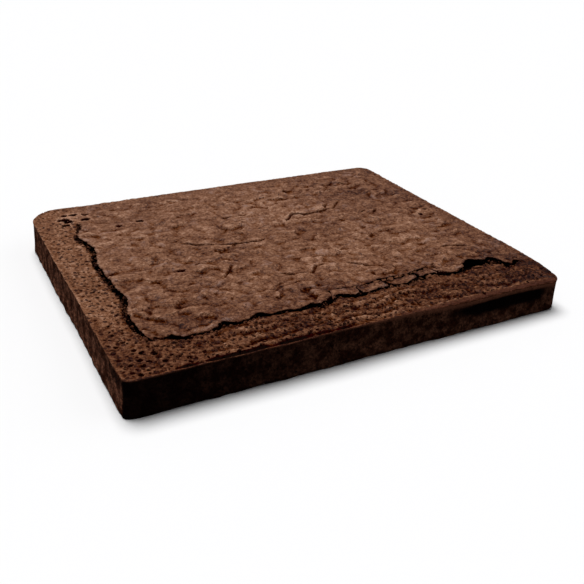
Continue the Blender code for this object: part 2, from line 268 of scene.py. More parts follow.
def across_upper(x, y):
    return across_route(x, y, UPPER_CRACK, True)


def as_flat(x, y):
    return np.stack([x, y, np.zeros(len(x))], axis=1)


def inset_from_edges(x, y):
    """How far inside the slab's rectangle each point lies."""
    return np.minimum(LENGTH / 2 - np.abs(x), DEPTH / 2 - np.abs(y))


def grid_points(low, high, columns, rows):
    """The x and y of a grid of points, as two tables."""
    across, along = np.linspace(low[0], high[0], columns + 1), np.linspace(low[1], high[1], rows + 1)
    return np.meshgrid(across, along, indexing="ij")


print("kinds of unevenness:", len(NOISE_LEVEL))

# %% [markdown]
# The cracks are routes across the crust, each point with the crack's width there. The deep ones go
# through the crust into the crumb. The creases only fold it.

# %% Cracks, creases and holes
LEFT_CRACK = [
    (-122, 91, 2.4), (-124, 83, 2.4), (-128, 73, 1.0), (-130, 64, 3.2), (-126, 51, 2.8),
    (-125, 43, 4.4), (-125, 35, 2.4), (-129, 18, 3.2), (-129, -1, 3.0), (-128, -21, 2.8),
    (-126, -38, 4.2), (-128, -48, 3.6), (-131, -57, 2.6), (-131, -73, 3.4), (-130, -82, 2.4),
    (-127, -91, 1.4), (-122, -94, 1.1),
]
FRONT_CRACK = [
    (-119, -92, 1.4), (-114, -93, 2.8), (-109, -98, 2.6), (-102, -96, 1.2), (-94, -97, 1.6),
    (-87, -95, 2.4), (-81, -92, 4.2), (-75, -94, 1.8), (-66, -93, 1.9), (-60, -90, 3.8),
    (-52, -93, 1.8), (-41, -93, 2.6), (-33, -95, 2.0), (-25, -93, 3.4), (-19, -96, 3.6),
    (-10, -93, 2.4), (-3, -89, 3.2), (7, -94, 2.8), (17, -92, 3.4), (38, -91, 3.8),
    (47, -94, 3.4), (56, -90, 4.0), (72, -87, 4.8), (77, -91, 2.6), (88, -93, 2.2),
    (97, -90, 3.4), (100, -87, 6.0), (104, -85, 8.6), (108, -84, 10.4), (112, -85.8, 8.0),
    (116.5, -88, 6.4), (120, -87.8, 9.0), (123.5, -87.5, 11.6), (126, -91, 7.6), (128.5, -96.5, 3.4),
    (133, -98, 2.6), (138, -94, 2.6), (143, -96, 1.6),
]
UPPER_CRACK = [
    (-7, -80, 1.0), (7, -81, 2.0), (19, -83, 1.6), (29, -82, 3.0), (38, -80, 2.4),
    (57, -80, 3.0), (67, -79, 2.6), (74, -77, 3.0),
]
CROSS_CRACKS = [
    [(10, -94, 1.6), (13, -88, 2.6), (12, -80, 1.2)],
    [(38, -92, 3.6), (36, -87, 4.6), (34, -80, 3.6)],
    [(58, -90, 2.4), (60, -85, 3.0), (57, -78, 1.4)],
]
CREASES = (
    [(22, 34, 3.2), (35, 47, 3.4), (43, 43, 3.0), (53, 44, 2.6), (72, 47, 2.4), (80, 55, 2.0),
     (87, 62, 2.6)],
    [(64, 47, 2.4), (68, 53, 2.2), (75, 60, 2.0)],
    [(-66, 29, 3.0), (-51, 19, 3.2), (-34, 12, 2.8), (-13, 7, 2.4), (-4, 13, 2.4)],
    [(-22, 63, 3.0), (-16, 60, 3.2), (-6, 59, 2.6), (3, 60, 2.0)],
    [(-32, -59, 2.2), (-22, -57, 2.4)],
    [(-25, -44, 3.2), (-13, -49, 2.4), (-1, -52, 3.0), (5, -45, 2.4), (15, -43, 2.2)],
    [(27, -45, 2.0), (34, -53, 2.6), (44, -60, 2.4)],
    [(103, -53, 2.4), (110, -52, 2.6), (118, -55, 3.0), (125, -61, 2.6)],
    [(62, 18, 3.2), (70, 23, 2.4)],
    [(87, 29, 3.0), (95, 34, 2.4)],
    [(96, 25, 3.2), (106, 34, 2.4)],
    [(-60, -38, 2.4), (-52, -29, 2.6), (-45, -19, 2.4)],
    [(-68, -68, 2.4), (-63, -62, 2.4)],
    [(36, -65, 2.6), (34, -76, 3.0)],
    [(99, -91, 2.4), (105, -92.5, 3.2), (112, -94, 2.6)],
)
TORN_HOLES = (
    (-131, 105, 5.6), (-128, 99.5, 5.6), (-131, 94, 4.2), (-115, 101, 4.8), (-122, 112, 4.4),
    (-113, 110, 3.6), (-129, 113, 3.4),
    (-92, 110, 3.4), (-78, 81, 4.0), (-96, 78, 3.4), (-81, -16, 3.8), (129, 6, 3.4), (140, 15, 3.2),
)
print("widths of the left and front crack at their middle:",
      across_left(np.zeros(1), np.zeros(1))[1], across_front(np.zeros(1), np.zeros(1))[1])

# %% [markdown]
# The outline is a rectangle with round corners, drawn in a little at the right front. A bevel would
# round the corners too, but this rule also bends the grid inside them, so the relief has no seam.

# %% Outline
RIGHT_TAPER = 3.0
TAPER_FROM = 70.0


def round_corners(x, y):
    round_x, round_y = x.copy(), y.copy()
    inwards_x, inwards_y = LENGTH / 2 - np.abs(x), DEPTH / 2 - np.abs(y)
    out_x = np.where(inwards_x <= inwards_y, np.sign(x), 0.0)
    out_y = np.where(inwards_x <= inwards_y, 0.0, np.sign(y))
    inset = np.minimum(inwards_x, inwards_y)
    for (side_x, side_y), radius in CORNER_RADIUS.items():
        across = (side_x * x - (LENGTH / 2 - radius)) / radius
        along = (side_y * y - (DEPTH / 2 - radius)) / radius
        corner = (across > 0) & (along > 0)
        u = across * np.sqrt(1 - np.clip(along, 0, 1) ** 2 / 2)
        v = along * np.sqrt(1 - np.clip(across, 0, 1) ** 2 / 2)
        reach = np.maximum(np.hypot(u, v), 1e-6)
        round_x = np.where(corner, side_x * (LENGTH / 2 - radius + radius * u), round_x)
        round_y = np.where(corner, side_y * (DEPTH / 2 - radius + radius * v), round_y)
        out_x = np.where(corner, side_x * u / reach, out_x)
        out_y = np.where(corner, side_y * v / reach, out_y)
        inset = np.where(corner, radius * (1 - reach), inset)
    taper = RIGHT_TAPER * smooth_step(-round_y, TAPER_FROM, DEPTH / 2)
    round_x = round_x - taper * smooth_step(round_x, LENGTH / 4, LENGTH / 2)
    return round_x, round_y, out_x, out_y, inset


print("the round corner's outermost points:", np.round(round_corners(
    np.array([-LENGTH / 2, LENGTH / 2]), np.array([DEPTH / 2, -DEPTH / 2]))[:2], 1).tolist())

# %% [markdown]
# The wall took the shape of the tin. It goes in and out below the rim: a slight hollow, a rounded
# foot, and the place at the front right where the crumb shrank back under its lip. Cutters would do
# for that, but a rule along the wall keeps it one surface.

# %% Wall
FOOT_SPREAD_LEFT = 1.8
FOOT_SPREAD_RIGHT = 1.3
FOOT_SPREAD_FRONT = 0.3
FOOT_ROUND = 0.8
FOOT_ROUND_SHARE = (-0.02, 0.09)
FOOT_SPACING = 22.0
FOOT_SWING = 1.2
FRONT_RIGHT_FOOT = 2.5
CORNER_REACH = 14.0
WALL_HOLLOW = 0.35
WALL_HOLLOW_AT = (0.5, 0.3)
WALL_ROUGHNESS = 0.35
WALL_SPACING = 9.0
LIP_OVERHANG = 0.25
LIP_SHARE = 0.93
SHRUNK_FROM = (38.0, 95.0)
SHRUNK_TO = (128.0, 146.0)
SHRUNK_OVERHANG = 0.9
SHRUNK_OVERHANG_FROM = (0.1, 0.5)
SHRUNK_HOLLOW = 1.9
SHRUNK_AT = 0.66
SHRUNK_SPREAD = 0.15
SHRUNK_LIP_SHARES = (0.78, 0.90)
SHRUNK_REACH = (8.0, 40.0)
HOLLOW_SHADE_AT = 0.66
HOLLOW_SHADE_SPREAD = 0.22


def near_front(y, near, far):
    """1 at the front edge, 0 from the distance far inside it."""
    return smooth_step(-y, DEPTH / 2 - far, DEPTH / 2 - near)


def near_front_right(x, y):
    """1 at the front right corner, fading out within a few CORNER_REACH."""
    to_corner = np.hypot(x - LENGTH / 2, y + DEPTH / 2)
    return np.exp(-((to_corner / CORNER_REACH) ** 2))


def where_shrunk(x, y):
    along = smooth_step(x, *SHRUNK_FROM) * (1 - smooth_step(x, *SHRUNK_TO))
    return along * near_front(y, *SHRUNK_REACH)


def hollow_shade(x, y, share):
    """Painted shade for the hollow under the lip: how deep in it each point of the wall is, from 0 to 1."""
    return where_shrunk(x, y) * bump(share, HOLLOW_SHADE_AT, HOLLOW_SHADE_SPREAD)


def wall_inset(share, x, y, z):
    shrunk = where_shrunk(x, y)
    under_lip = LIP_OVERHANG * (1 - smooth_step(share, LIP_SHARE, 1.0))
    overhang = SHRUNK_OVERHANG * shrunk * smooth_step(share, *SHRUNK_OVERHANG_FROM)
    under_lip = under_lip + overhang * (1 - smooth_step(share, *SHRUNK_LIP_SHARES))
    hollow = WALL_HOLLOW * bump(share, *WALL_HOLLOW_AT)
    hollow += SHRUNK_HOLLOW * shrunk * bump(share, SHRUNK_AT, SHRUNK_SPREAD)
    solid = np.stack([x, y, z], axis=1)
    foot_swing = 1 + FOOT_SWING * noise_field(solid, FOOT_SPACING, "foot")
    foot_swing += FRONT_RIGHT_FOOT * near_front_right(x, y)
    foot = FOOT_ROUND * foot_swing * (1 - smooth_step(share, *FOOT_ROUND_SHARE)) ** 2
    rough = WALL_ROUGHNESS * (1 - share) ** 0.2 * noise_field(solid, WALL_SPACING, "wall")
    return under_lip + hollow + foot + rough


def foot_spread(share, out_x, out_y):
    spread = FOOT_SPREAD_LEFT * np.maximum(-out_x, 0) ** 3
    spread += FOOT_SPREAD_RIGHT * np.maximum(out_x, 0) ** 3
    spread += FOOT_SPREAD_FRONT * np.maximum(-out_y, 0) ** 3
    return (1 - share) * spread


print("deepest hollow of the wall in mm:", SHRUNK_OVERHANG + SHRUNK_HOLLOW + WALL_HOLLOW + LIP_OVERHANG)

# %% [markdown]
# Next the baked surface, one height added to another. The rim has a thin lip that climbed the tin, a
# broken gutter behind it, folds along the front and an edge that rounds off towards the front right.

# %% Relief of the rim
LIP_RISE = 0.5
LIP_WIDTH = 1.3
LIP_SPACING = 30.0
GUTTER_DEPTH = 1.1
GUTTER_AT = 3.0
GUTTER_WIDTH = 1.9
GUTTER_SPACING = 12.0
GUTTER_START = (-148.0, -112.0)
GUTTER_ENDS = (-30.0, 15.0)
GUTTER_REACH = (8.0, 16.0)
FRONT_ROUND = 2.4
FRONT_ROUND_WIDTH = 4.2
FRONT_ROUND_FROM = (5.0, 70.0)
CORNER_DROP = 2.0
RIGHT_SHOULDER = 0.4
SHOULDER_WIDTH = 9.0
FOLD_HEIGHT = 2.8
FOLD_SIZE = (26.0, 9.0)
FOLD_SWAY = 5.0
FOLD_SWAY_SPACING = 24.0
FOLD_START = (-128.0, -85.0)
FOLD_END = (128.0, 142.0)
FOLD_BAND = (-102.0, -94.0)
FOLD_INSET = (3.0, 8.0)


def gutter_share(x, y, inset, flat):
    """How deep in the gutter behind the front lip each point is, from 0 to about 1."""
    broken = np.clip(0.7 + 1.3 * noise_field(flat, GUTTER_SPACING, "gutter"), 0.15, 1.4)
    along_front = near_front(y, *GUTTER_REACH) * (1 - smooth_step(x, *GUTTER_ENDS))
    return broken * bump(inset, GUTTER_AT, GUTTER_WIDTH) * along_front * smooth_step(x, *GUTTER_START)


def on_front_band(x, y, start):
    """1 on the band of rim in front of the crack, 0 before its start and on the crust."""
    return (1 - smooth_step(y, *FOLD_BAND)) * smooth_step(x, *start) * (1 - smooth_step(x, *FOLD_END))


def rim_relief(x, y, inset, flat):
    unevenness = np.clip(0.8 + 1.1 * noise_field(flat, LIP_SPACING, "lip"), 0.0, 1.6)
    lip = LIP_RISE * unevenness * bump(inset, 0.0, LIP_WIDTH)
    gutter = GUTTER_DEPTH * gutter_share(x, y, inset, flat)
    length, width = FOLD_SIZE
    swayed = y + FOLD_SWAY * noise_field(flat, FOLD_SWAY_SPACING, "fold sway")
    along_edge = as_flat(x * width / length, swayed)
    folds = FOLD_HEIGHT * (np.abs(noise_field(along_edge, width, "fold")) - 0.25)
    folds *= on_front_band(x, y, FOLD_START) * smooth_step(inset, *FOLD_INSET)
    shoulder = RIGHT_SHOULDER * smooth_step(x, LENGTH / 2 - SHOULDER_WIDTH, LENGTH / 2)
    turn = np.clip(1 - (DEPTH / 2 + y) / FRONT_ROUND_WIDTH, 0, 1)
    shoulder += FRONT_ROUND * (1 - np.sqrt(1 - 0.98 * turn ** 2)) * smooth_step(x, *FRONT_ROUND_FROM)
    shoulder += CORNER_DROP * near_front_right(x, y)
    return lip - gutter + folds - shoulder


print("rim folds in mm:", FOLD_SIZE, "gutter:", GUTTER_DEPTH, "deep")

# %% [markdown]
# The risen middle swells gently, puffs up into wrinkles with sharp valleys, and curls up beside the
# cracks. The absolute value of a noise has just such round tops and sharp valleys.

# %% Relief of the risen middle
PLATE_SWELL = 0.7
SWELL_SPACING = (75.0, 34.0)
WRINKLE_HEIGHT = 2.0
WRINKLE_SPACING = (19.0, 9.0)
PLATE_CURL = 1.0
PLATE_CURL_REACH = 9.0
RIM_DIP = 0.4


def on_plate(x, y):
    return smooth_step(across_left(x, y)[0], 0, 4) * smooth_step(across_front(x, y)[0], 0, 4)


def plate_relief(x, y, flat):
    swell = noise_field(flat, SWELL_SPACING[0], "swell")
    swell += 0.5 * noise_field(flat, SWELL_SPACING[1], "small swell")
    behind = (across_left(x, y)[0] > 0) & (across_front(x, y)[0] > 0)
    curl = np.zeros(len(x))
    for route in (LEFT_CRACK, FRONT_CRACK):
        gap, width = along_route(x, y, route)
        lift = PLATE_CURL * np.clip(width / 3.0, 0, 1) * np.exp(-gap / PLATE_CURL_REACH)
        curl = np.maximum(curl, lift)
    return PLATE_SWELL * swell + np.where(behind, curl, -RIM_DIP * curl)


def wrinkle_relief(flat):
    wrinkle = np.abs(noise_field(flat, WRINKLE_SPACING[0], "wrinkle"))
    wrinkle += 0.5 * np.abs(noise_field(flat, WRINKLE_SPACING[1], "small wrinkle"))
    return WRINKLE_HEIGHT * (wrinkle - 0.3)


print("swell and wrinkles in mm:", PLATE_SWELL, WRINKLE_HEIGHT)

# %% [markdown]
# Where the crust is driest its skin has split into flakes. They could be loose pieces, but on the
# slab they still hold on, so they are steps in the surface: a mosaic of leaning cells.

# %% Flakes of skin
FLAKE_SIZE = (17.0, 8.0)
FLAKE_STEP = 1.3
FLAKE_LEAN = 1.7
FLAKE_WARP = ((11.0, 4.5), (3.6, 1.3))
FLAKY_SPACING = 34.0
FLAKY_FROM = (-0.30, 0.15)
FLAKE_INSET = (7.0, 20.0)


def drawn_number(i, j, kind):
    """A number from 0 to 1 that is fixed for each cell of a grid."""
    mixed = np.sin(i * 127.1 + j * 311.7 + kind * 74.7) * 43758.5453
    return mixed - np.floor(mixed)


def flake_relief(flat, inset):
    """Flakes of skin: each cell of a warped mosaic lies at its own height and leans its own way."""
    u, v = flat[:, 0].copy(), flat[:, 1].copy()
    for spacing, reach in FLAKE_WARP:
        u += reach * noise_field(flat, spacing, "flake warp x")
        v += reach * noise_field(flat, spacing, "flake warp y")
    u, v = u / FLAKE_SIZE[0], v / FLAKE_SIZE[1]
    column, row = np.floor(u), np.floor(v)
    nearest, height = np.full(len(u), 99.0), np.zeros(len(u))
    for i in (-1, 0, 1):
        for j in (-1, 0, 1):
            du = u - column - i - drawn_number(column + i, row + j, 1)
            dv = v - row - j - drawn_number(column + i, row + j, 2)
            gap = du * du + dv * dv
            lean = du * (drawn_number(column + i, row + j, 3) - 0.5)
            lean += dv * (drawn_number(column + i, row + j, 4) - 0.5)
            step = FLAKE_STEP * (drawn_number(column + i, row + j, 5) - 0.5) + FLAKE_LEAN * lean
            height = np.where(gap < nearest, step, height)
            nearest = np.minimum(gap, nearest)
    flaky = smooth_step(noise_field(flat, FLAKY_SPACING, "flaky"), *FLAKY_FROM)
    return height * flaky * smooth_step(inset, *FLAKE_INSET)


print("flakes in mm:", FLAKE_SIZE)

# %% [markdown]
# The finest relief is different on the two: the crust puckers like drying skin, in places more and in
# places less, and the rim is bare crumb, lumpy along the front.

# %% Fine relief
PUCKER_HEIGHT = 0.62
PUCKER_SPACING = 4.2
PUCKER_LEAST = 0.35
SMOOTH_PATCH = (-0.25, 0.25)
GRAIN_HEIGHT = 0.16
GRAIN_SPACING = 1.9
RIM_CRUMB_HEIGHT = 0.40
RIM_CRUMB_SPACING = (4.6, 2.1)
RIM_CRUMB_INSET = (0.8, 3.0)
SMOOTH_FROM = (134.0, 146.0)
LUMP_HEIGHT = 1.5
LUMP_SPACING = 4.2
LUMP_START = (-115.0, -70.0)


def fine_relief(flat, plate, inset):
    x, y = flat[:, 0], flat[:, 1]
    pucker = PUCKER_HEIGHT * (np.abs(noise_field(flat, PUCKER_SPACING, "pucker")) - 0.2)
    pucker *= PUCKER_LEAST + smooth_step(noise_field(flat, FLAKY_SPACING, "smooth patch"), *SMOOTH_PATCH)
    grain = GRAIN_HEIGHT * noise_field(flat, GRAIN_SPACING, "grain")
    crumb = noise_field(flat, RIM_CRUMB_SPACING[0], "crumb")
    crumb += 0.9 * noise_field(flat, RIM_CRUMB_SPACING[1], "fine crumb")
    on_rim = (1 - plate) * smooth_step(inset, *RIM_CRUMB_INSET)
    on_rim *= 1 - 0.7 * smooth_step(x, *SMOOTH_FROM)
    lumps = LUMP_HEIGHT * (np.abs(noise_field(flat, LUMP_SPACING, "lump")) - 0.22)
    lumps *= on_front_band(x, y, LUMP_START)
    on_crust = plate * (pucker + flake_relief(flat, inset))
    return on_crust + grain + on_rim * (RIM_CRUMB_HEIGHT * crumb + lumps)


print("puckers in mm:", PUCKER_SPACING, "lumps:", LUMP_SPACING)

# %% [markdown]
# Torn edges are jagged at three sizes at once. The same jags roughen the creases, which fold the
# crust without going through it, and the torn holes at the back left.

# %% Torn edges, creases and holes
JAG = 0.8
JAG_SPACING = (5.0, 2.4)
RAGGED = 0.55
RAGGED_SPACING = 1.7
CREASE_DEPTH = 1.9
CREASE_TAPER = 6.0
HOLE_DEPTH = 3.0
FULL_HOLE = 4.5


def torn(flat, kind="torn edge"):
    jag = noise_field(flat, JAG_SPACING[0], kind)
    jag += 0.6 * noise_field(flat, JAG_SPACING[1], "fine torn edge")
    return JAG * jag + RAGGED * noise_field(flat, RAGGED_SPACING, "ragged edge")


def crease_cut(x, y, flat):
    """Depth of the creases and of the torn holes, one array for each."""
    jag = torn(flat)
    creases, holes = np.zeros(len(x)), np.zeros(len(x))
    for route in CREASES:
        gap, width = along_route(x, y, route)
        to_end = np.minimum(*[np.hypot(x - end[0], y - end[1]) for end in (route[0], route[-1])])
        width = width * (0.25 + 0.75 * smooth_step(to_end, 0.0, CREASE_TAPER))
        share = 1 - smooth_step(gap + 0.4 * jag, 0.0, width * 0.6)
        creases = np.maximum(creases, share * CREASE_DEPTH * width / 3.0)
    for hole_x, hole_y, width in TORN_HOLES:
        gap = np.hypot((x - hole_x) * 0.75, y - hole_y) + jag
        depth = HOLE_DEPTH * min(1.0, (width / FULL_HOLE) ** 2)
        holes = np.maximum(holes, depth * (1 - smooth_step(gap, width * 0.35, width * 0.6)))
    return creases, holes


print("creases:", len(CREASES), "torn holes:", len(TORN_HOLES))

# %% [markdown]
# Burst bubbles pock the rim. They crowd towards the front left corner, where they are largest, and
# thin out along the left and front bands. The largest stand where the photograph shows them. The
# rest are scattered by a seeded draw that keeps them apart, as real bubbles can't overlap.

# %% Pores of the rim
PORE_SEED = 11
PORE_TRIES = 60000
PORES_AT_MOST = 2600
PORE_WIDTH = (0.9, 2.8)
PORE_CORNER_GROWTH = 1.5
PORE_DEPTH = 2.4
PORE_MARGIN = 3.0
PORE_CROWDING_REACH = 45.0
LEAST_CROWDING = 0.15
PORE_CELL = 4
PORE_GAP = 0.62
RIM_BAND = (-129.0, -98.0)
LARGE_PORES = (
    (-129, -105, 4.4), (-128, -110, 3.6), (-135, -102, 3.6), (-138, -109, 3.8), (-138, -98, 3.2),
    (-144, -112, 3.4), (-138, -115, 3.4), (-134, -112, 3.8), (-126, -115, 3.4), (-113, -117, 3.4),
    (-110, -119, 3.0), (-113, -106, 3.2), (-121, -111, 3.0), (-118, -114, 3.2), (-146, -91, 3.0),
    (-148, -105, 2.8), (-134, -119, 2.8), (-142, -117, 2.8), (-99, -105, 2.8), (-141, -88, 2.8),
)


def scatter_pores():
    draw = random.Random(PORE_SEED)
    pores, grid = [], {}
    for x, y, width in LARGE_PORES:
        grid.setdefault((int(x // PORE_CELL), int(y // PORE_CELL)), []).append((x, y, width))
        pores.append((x, y, width, draw.uniform(0, math.pi), draw.uniform(0.7, 1.0)))
    for _ in range(PORE_TRIES):
        x = draw.uniform(-LENGTH / 2, LENGTH / 2)
        y = draw.uniform(-DEPTH / 2, DEPTH / 2)
        width = draw.uniform(*PORE_WIDTH) * draw.uniform(0.7, 1.0)
        corner = math.hypot(x + LENGTH / 2, y + DEPTH / 2)
        crowding = math.exp(-corner / PORE_CROWDING_REACH)
        width *= 1 + (PORE_CORNER_GROWTH - 1) * crowding * draw.uniform(0.3, 1.5)
        inset = min(LENGTH / 2 - abs(x), DEPTH / 2 - abs(y))
        on_band = x < RIM_BAND[0] or y < RIM_BAND[1]
        if not on_band or inset < PORE_MARGIN:
            continue
        if draw.random() > LEAST_CROWDING + (1 - LEAST_CROWDING) * crowding:
            continue
        column, row = int(x // PORE_CELL), int(y // PORE_CELL)
        around = ((column + i, row + j) for i in (-1, 0, 1) for j in (-1, 0, 1))
        close = [pore for cell in around for pore in grid.get(cell, [])]
        if all(math.hypot(x - p[0], y - p[1]) > PORE_GAP * (width + p[2]) for p in close):
            grid.setdefault((column, row), []).append((x, y, width))
            pores.append((x, y, width, draw.uniform(0, math.pi), draw.uniform(0.55, 1.0)))
        if len(pores) == PORES_AT_MOST:
            break
    return pores


PORES = scatter_pores()
print("pores:", len(PORES))


def pore_cut(x, y):
    """Depth of the pores, each an uneven oval."""
    cut = np.zeros(len(x))
    on_bands = np.nonzero((x < RIM_BAND[0] + 3) | (y < RIM_BAND[1] + 3))[0]
    band_x, band_y = x[on_bands], y[on_bands]
    for pore_x, pore_y, width, turn, slimness in PORES:
        near = on_bands[(np.abs(band_x - pore_x) < width) & (np.abs(band_y - pore_y) < width)]
        u = (x[near] - pore_x) * math.cos(turn) + (y[near] - pore_y) * math.sin(turn)
        v = (y[near] - pore_y) * math.cos(turn) - (x[near] - pore_x) * math.sin(turn)
        share = 1 - smooth_step(np.hypot(u, v / slimness), width * 0.28, width * 0.56)
        cut[near] = np.maximum(cut[near], PORE_DEPTH * share * width / PORE_WIDTH[1])
    return cut


# %% [markdown]
# The edge of the risen crust follows the left crack and then the front one, but between the two
# front cracks it follows the upper one, because the strip below has broken off. Where a crack has
# a width the crust's edge is torn and free. Elsewhere it dives under the rim and is grown to it.

# %% Where the crust ends
PLATE_FRONT = (
    [p for p in FRONT_CRACK if p[0] < -15] + [(-13, -92, 1.0)] + UPPER_CRACK
    + [(77, -84, 3.0), (81, -91, 2.4)] + [p for p in FRONT_CRACK if p[0] > 85]
)
BORDER = 5.0
OPEN_WIDTH = (0.5, 1.4)


def crust_edge(x, y):
    """How far inside the crust's edge each point lies, and how open the edge is there, 0 to 1."""
    jag = torn(as_flat(x, y))
    left, left_width = across_left(x, y)
    front, front_width = across_route(x, y, PLATE_FRONT, True)
    left_open = smooth_step(left_width, *OPEN_WIDTH)
    front_open = smooth_step(front_width, *OPEN_WIDTH)
    left = left - left_width / 2 - jag * left_open
    front = front - front_width / 2 - jag * front_open
    grown = np.minimum(LENGTH / 2 - BORDER - x, DEPTH / 2 - BORDER - y)
    inside = np.minimum(np.minimum(left, front), grown)
    openness = np.where(left < front, left_open, front_open)
    return inside, np.where(grown < np.minimum(left, front), 0.0, openness)


print("the crust's front edge has", len(PLATE_FRONT), "points")

# %% [markdown]
# Below the crust the cracks go on through the soft crumb. Each is a trench that starts at the near
# torn edge and runs in under the crust. Crumbs bridge it in places, except in the big front hollow.

# %% Trenches through the crumb
CRACK_DEPTH = 7.5
TRENCH_SLOPE = 1.3
TRENCH_LEAST = 2.4
UNDERCUT = 2.4
NEAR_EXTRA = 0.5
UPPER_EXTRA = 1.5
BRIDGE_SPACING = (3.6, 1.7)
BRIDGED = (-0.45, -0.05)
LEAST_DEPTH = 0.3
HOLLOW_X = 110.0
HOLLOW_LENGTH = 10.0


def trench(offset, width, near_jag):
    """Depth of a crack from how far across it each point lies."""
    near = smooth_step(offset + width / 2 + NEAR_EXTRA + near_jag, 0.0, 0.8)
    far = smooth_step(width / 2 + UNDERCUT - offset, 0.0, 0.9)
    opened = smooth_step(width, *OPEN_WIDTH)
    return np.minimum(CRACK_DEPTH, TRENCH_SLOPE * width + TRENCH_LEAST) * opened * near * far


def crack_cut(x, y, flat):
    near_jag = torn(flat, "far torn edge")
    cut = trench(*across_left(x, y), near_jag)
    cut = np.maximum(cut, trench(*across_front(x, y), near_jag))
    upper, upper_width = across_upper(x, y)
    cut = np.maximum(cut, trench(upper, upper_width + UPPER_EXTRA * (upper_width > 0), near_jag))
    bridge = noise_field(flat, BRIDGE_SPACING[0], "bridge")
    bridge += 0.5 * noise_field(flat, BRIDGE_SPACING[1], "bridge")
    open_share = np.maximum(smooth_step(bridge, *BRIDGED), np.exp(-(((x - HOLLOW_X) / HOLLOW_LENGTH) ** 2)))
    return cut * (LEAST_DEPTH + (1 - LEAST_DEPTH) * open_share)


print("deepest trench in mm:", CRACK_DEPTH)

# %% [markdown]
# The height of the body takes all of this together. Under the crust it just drops out of sight,
# because a hidden surface needs no detail.

# %% Height of the body
MIDDLE_INSET = (2.0, 16.0)
WRINKLE_SHARE_ON_RIM = 0.35
CREASE_SHADE = 0.34
GUTTER_SHADE = 2.4
GUTTER_SHADE_FROM = (0.2, 0.6)
UNDER_CRUST_LEVEL = RIM_HEIGHT - 4.5
STRIP_X = (-9.0, 76.0)
UNDER_STRIP = 2.9
ROUGH_SPACING = 3.4
ROUGH_FROM = (1.5, 4.0)


def baked_height(x, y, inset, flat):
    """The unbroken baked surface, with its creases and holes but without the deep cracks."""
    plate = on_plate(x, y)
    middle = smooth_step(inset, *MIDDLE_INSET)
    wrinkle_share = WRINKLE_SHARE_ON_RIM + (1 - WRINKLE_SHARE_ON_RIM) * plate
    height = RIM_HEIGHT + rim_relief(x, y, inset, flat)
    height += middle * (plate_relief(x, y, flat) + wrinkle_share * wrinkle_relief(flat))
    return height + fine_relief(flat, plate, inset) - np.maximum(*crease_cut(x, y, flat))


def where_strip(x, y):
    """1 between the two front cracks, where the strip of crust has broken off."""
    start, end = STRIP_X
    along = smooth_step(x, start, start + 6) * (1 - smooth_step(x, end - 4, end))
    return along * smooth_step(across_front(x, y)[0], 0, 1) * (1 - smooth_step(across_upper(x, y)[0], 0, 1))


def body_height(x, y, inset, flat):
    """Height of the crumb and rim, and how deep below the baked surface each point was cut, raised by the
    painted shade of the creases, torn holes and gutter.
    """
    height = baked_height(x, y, inset, flat)
    inside, openness = crust_edge(x, y)
    cut = np.maximum(crack_cut(x, y, flat), pore_cut(x, y))
    rough = 0.8 * noise_field(flat, RIM_CRUMB_SPACING[1], "crumb")
    rough += 0.6 * noise_field(flat, ROUGH_SPACING, "fine crumb")
    cut = cut + rough * smooth_step(cut, *ROUGH_FROM)
    cut = np.maximum(cut, where_strip(x, y) * (UNDER_STRIP + rough))
    hidden = smooth_step(inside, 2.0 + UNDERCUT * openness, 4.0 + UNDERCUT * openness)
    below = height - cut
    creases, holes = crease_cut(x, y, flat)
    below += hidden * (np.minimum(UNDER_CRUST_LEVEL, RIM_HEIGHT - cut) - below)
    gutter = smooth_step(gutter_share(x, y, inset, flat), *GUTTER_SHADE_FROM)
    shade = np.maximum(np.maximum(CREASE_SHADE * creases, holes), GUTTER_SHADE * gutter)
    return below, np.maximum(cut, shade)


middle = np.zeros(1)
middle_height = baked_height(middle, middle, middle + DEPTH / 2, as_flat(middle, middle))
print("height at the middle in mm:", middle_height.round(2))

# %% [markdown]
# One function puts every surface in its place: it rounds the corners, asks for the height, and then
# moves rim and wall out or in. The crust calls it with its own height, so the two always fit.

# %% From a grid to the slab
OUTLINE_WANDER = 0.5
OUTLINE_SPACING = 55.0
EDGE_WANDER = 0.45
EDGE_SPACING = 7.0
EDGE_REACH = 12.0


def shape(x, y, share, height_of):
    """Puts grid points in their place on the slab, in millimetres."""
    x, y, out_x, out_y, inset = round_corners(x, y)
    flat = as_flat(x, y)
    height, cut = height_of(x, y, inset, flat)
    z = share * height
    wander = OUTLINE_WANDER * noise_field(flat, OUTLINE_SPACING, "outline")
    wander += EDGE_WANDER * noise_field(flat, EDGE_SPACING, "uneven edge") * np.exp(-inset)
    outwards = wander + foot_spread(share, out_x, out_y) - (share < 1) * wall_inset(share, x, y, z)
    outwards *= np.exp(-inset / EDGE_REACH)
    return np.stack([x + out_x * outwards, y + out_y * outwards, z], axis=1), cut, inset


print("the outline wanders by about", OUTLINE_WANDER, "mm")

# %% [markdown]
# Painted shade darkens the valleys and painted light lifts the puffed tops. Blender's Pointiness would show
# that too, but the export loses it. So this painted shading is worked out from the height itself: how far
# each place lies above the average of the places round it.

# %% Tint from the relief
TINT_CELL = 0.9
TINT_REACH = 4.5
TINT_HEIGHT = 0.75


def blurred(heights, cells):
    """The average of a height grid over squares of 2 * cells + 1 points a side."""
    size = 2 * cells + 1
    for _ in (0, 1):
        padded = np.pad(heights, ((cells + 1, cells), (0, 0)), mode="edge")
        sums = np.cumsum(padded, axis=0)
        heights = ((sums[size:] - sums[:-size]) / size).T
    return heights


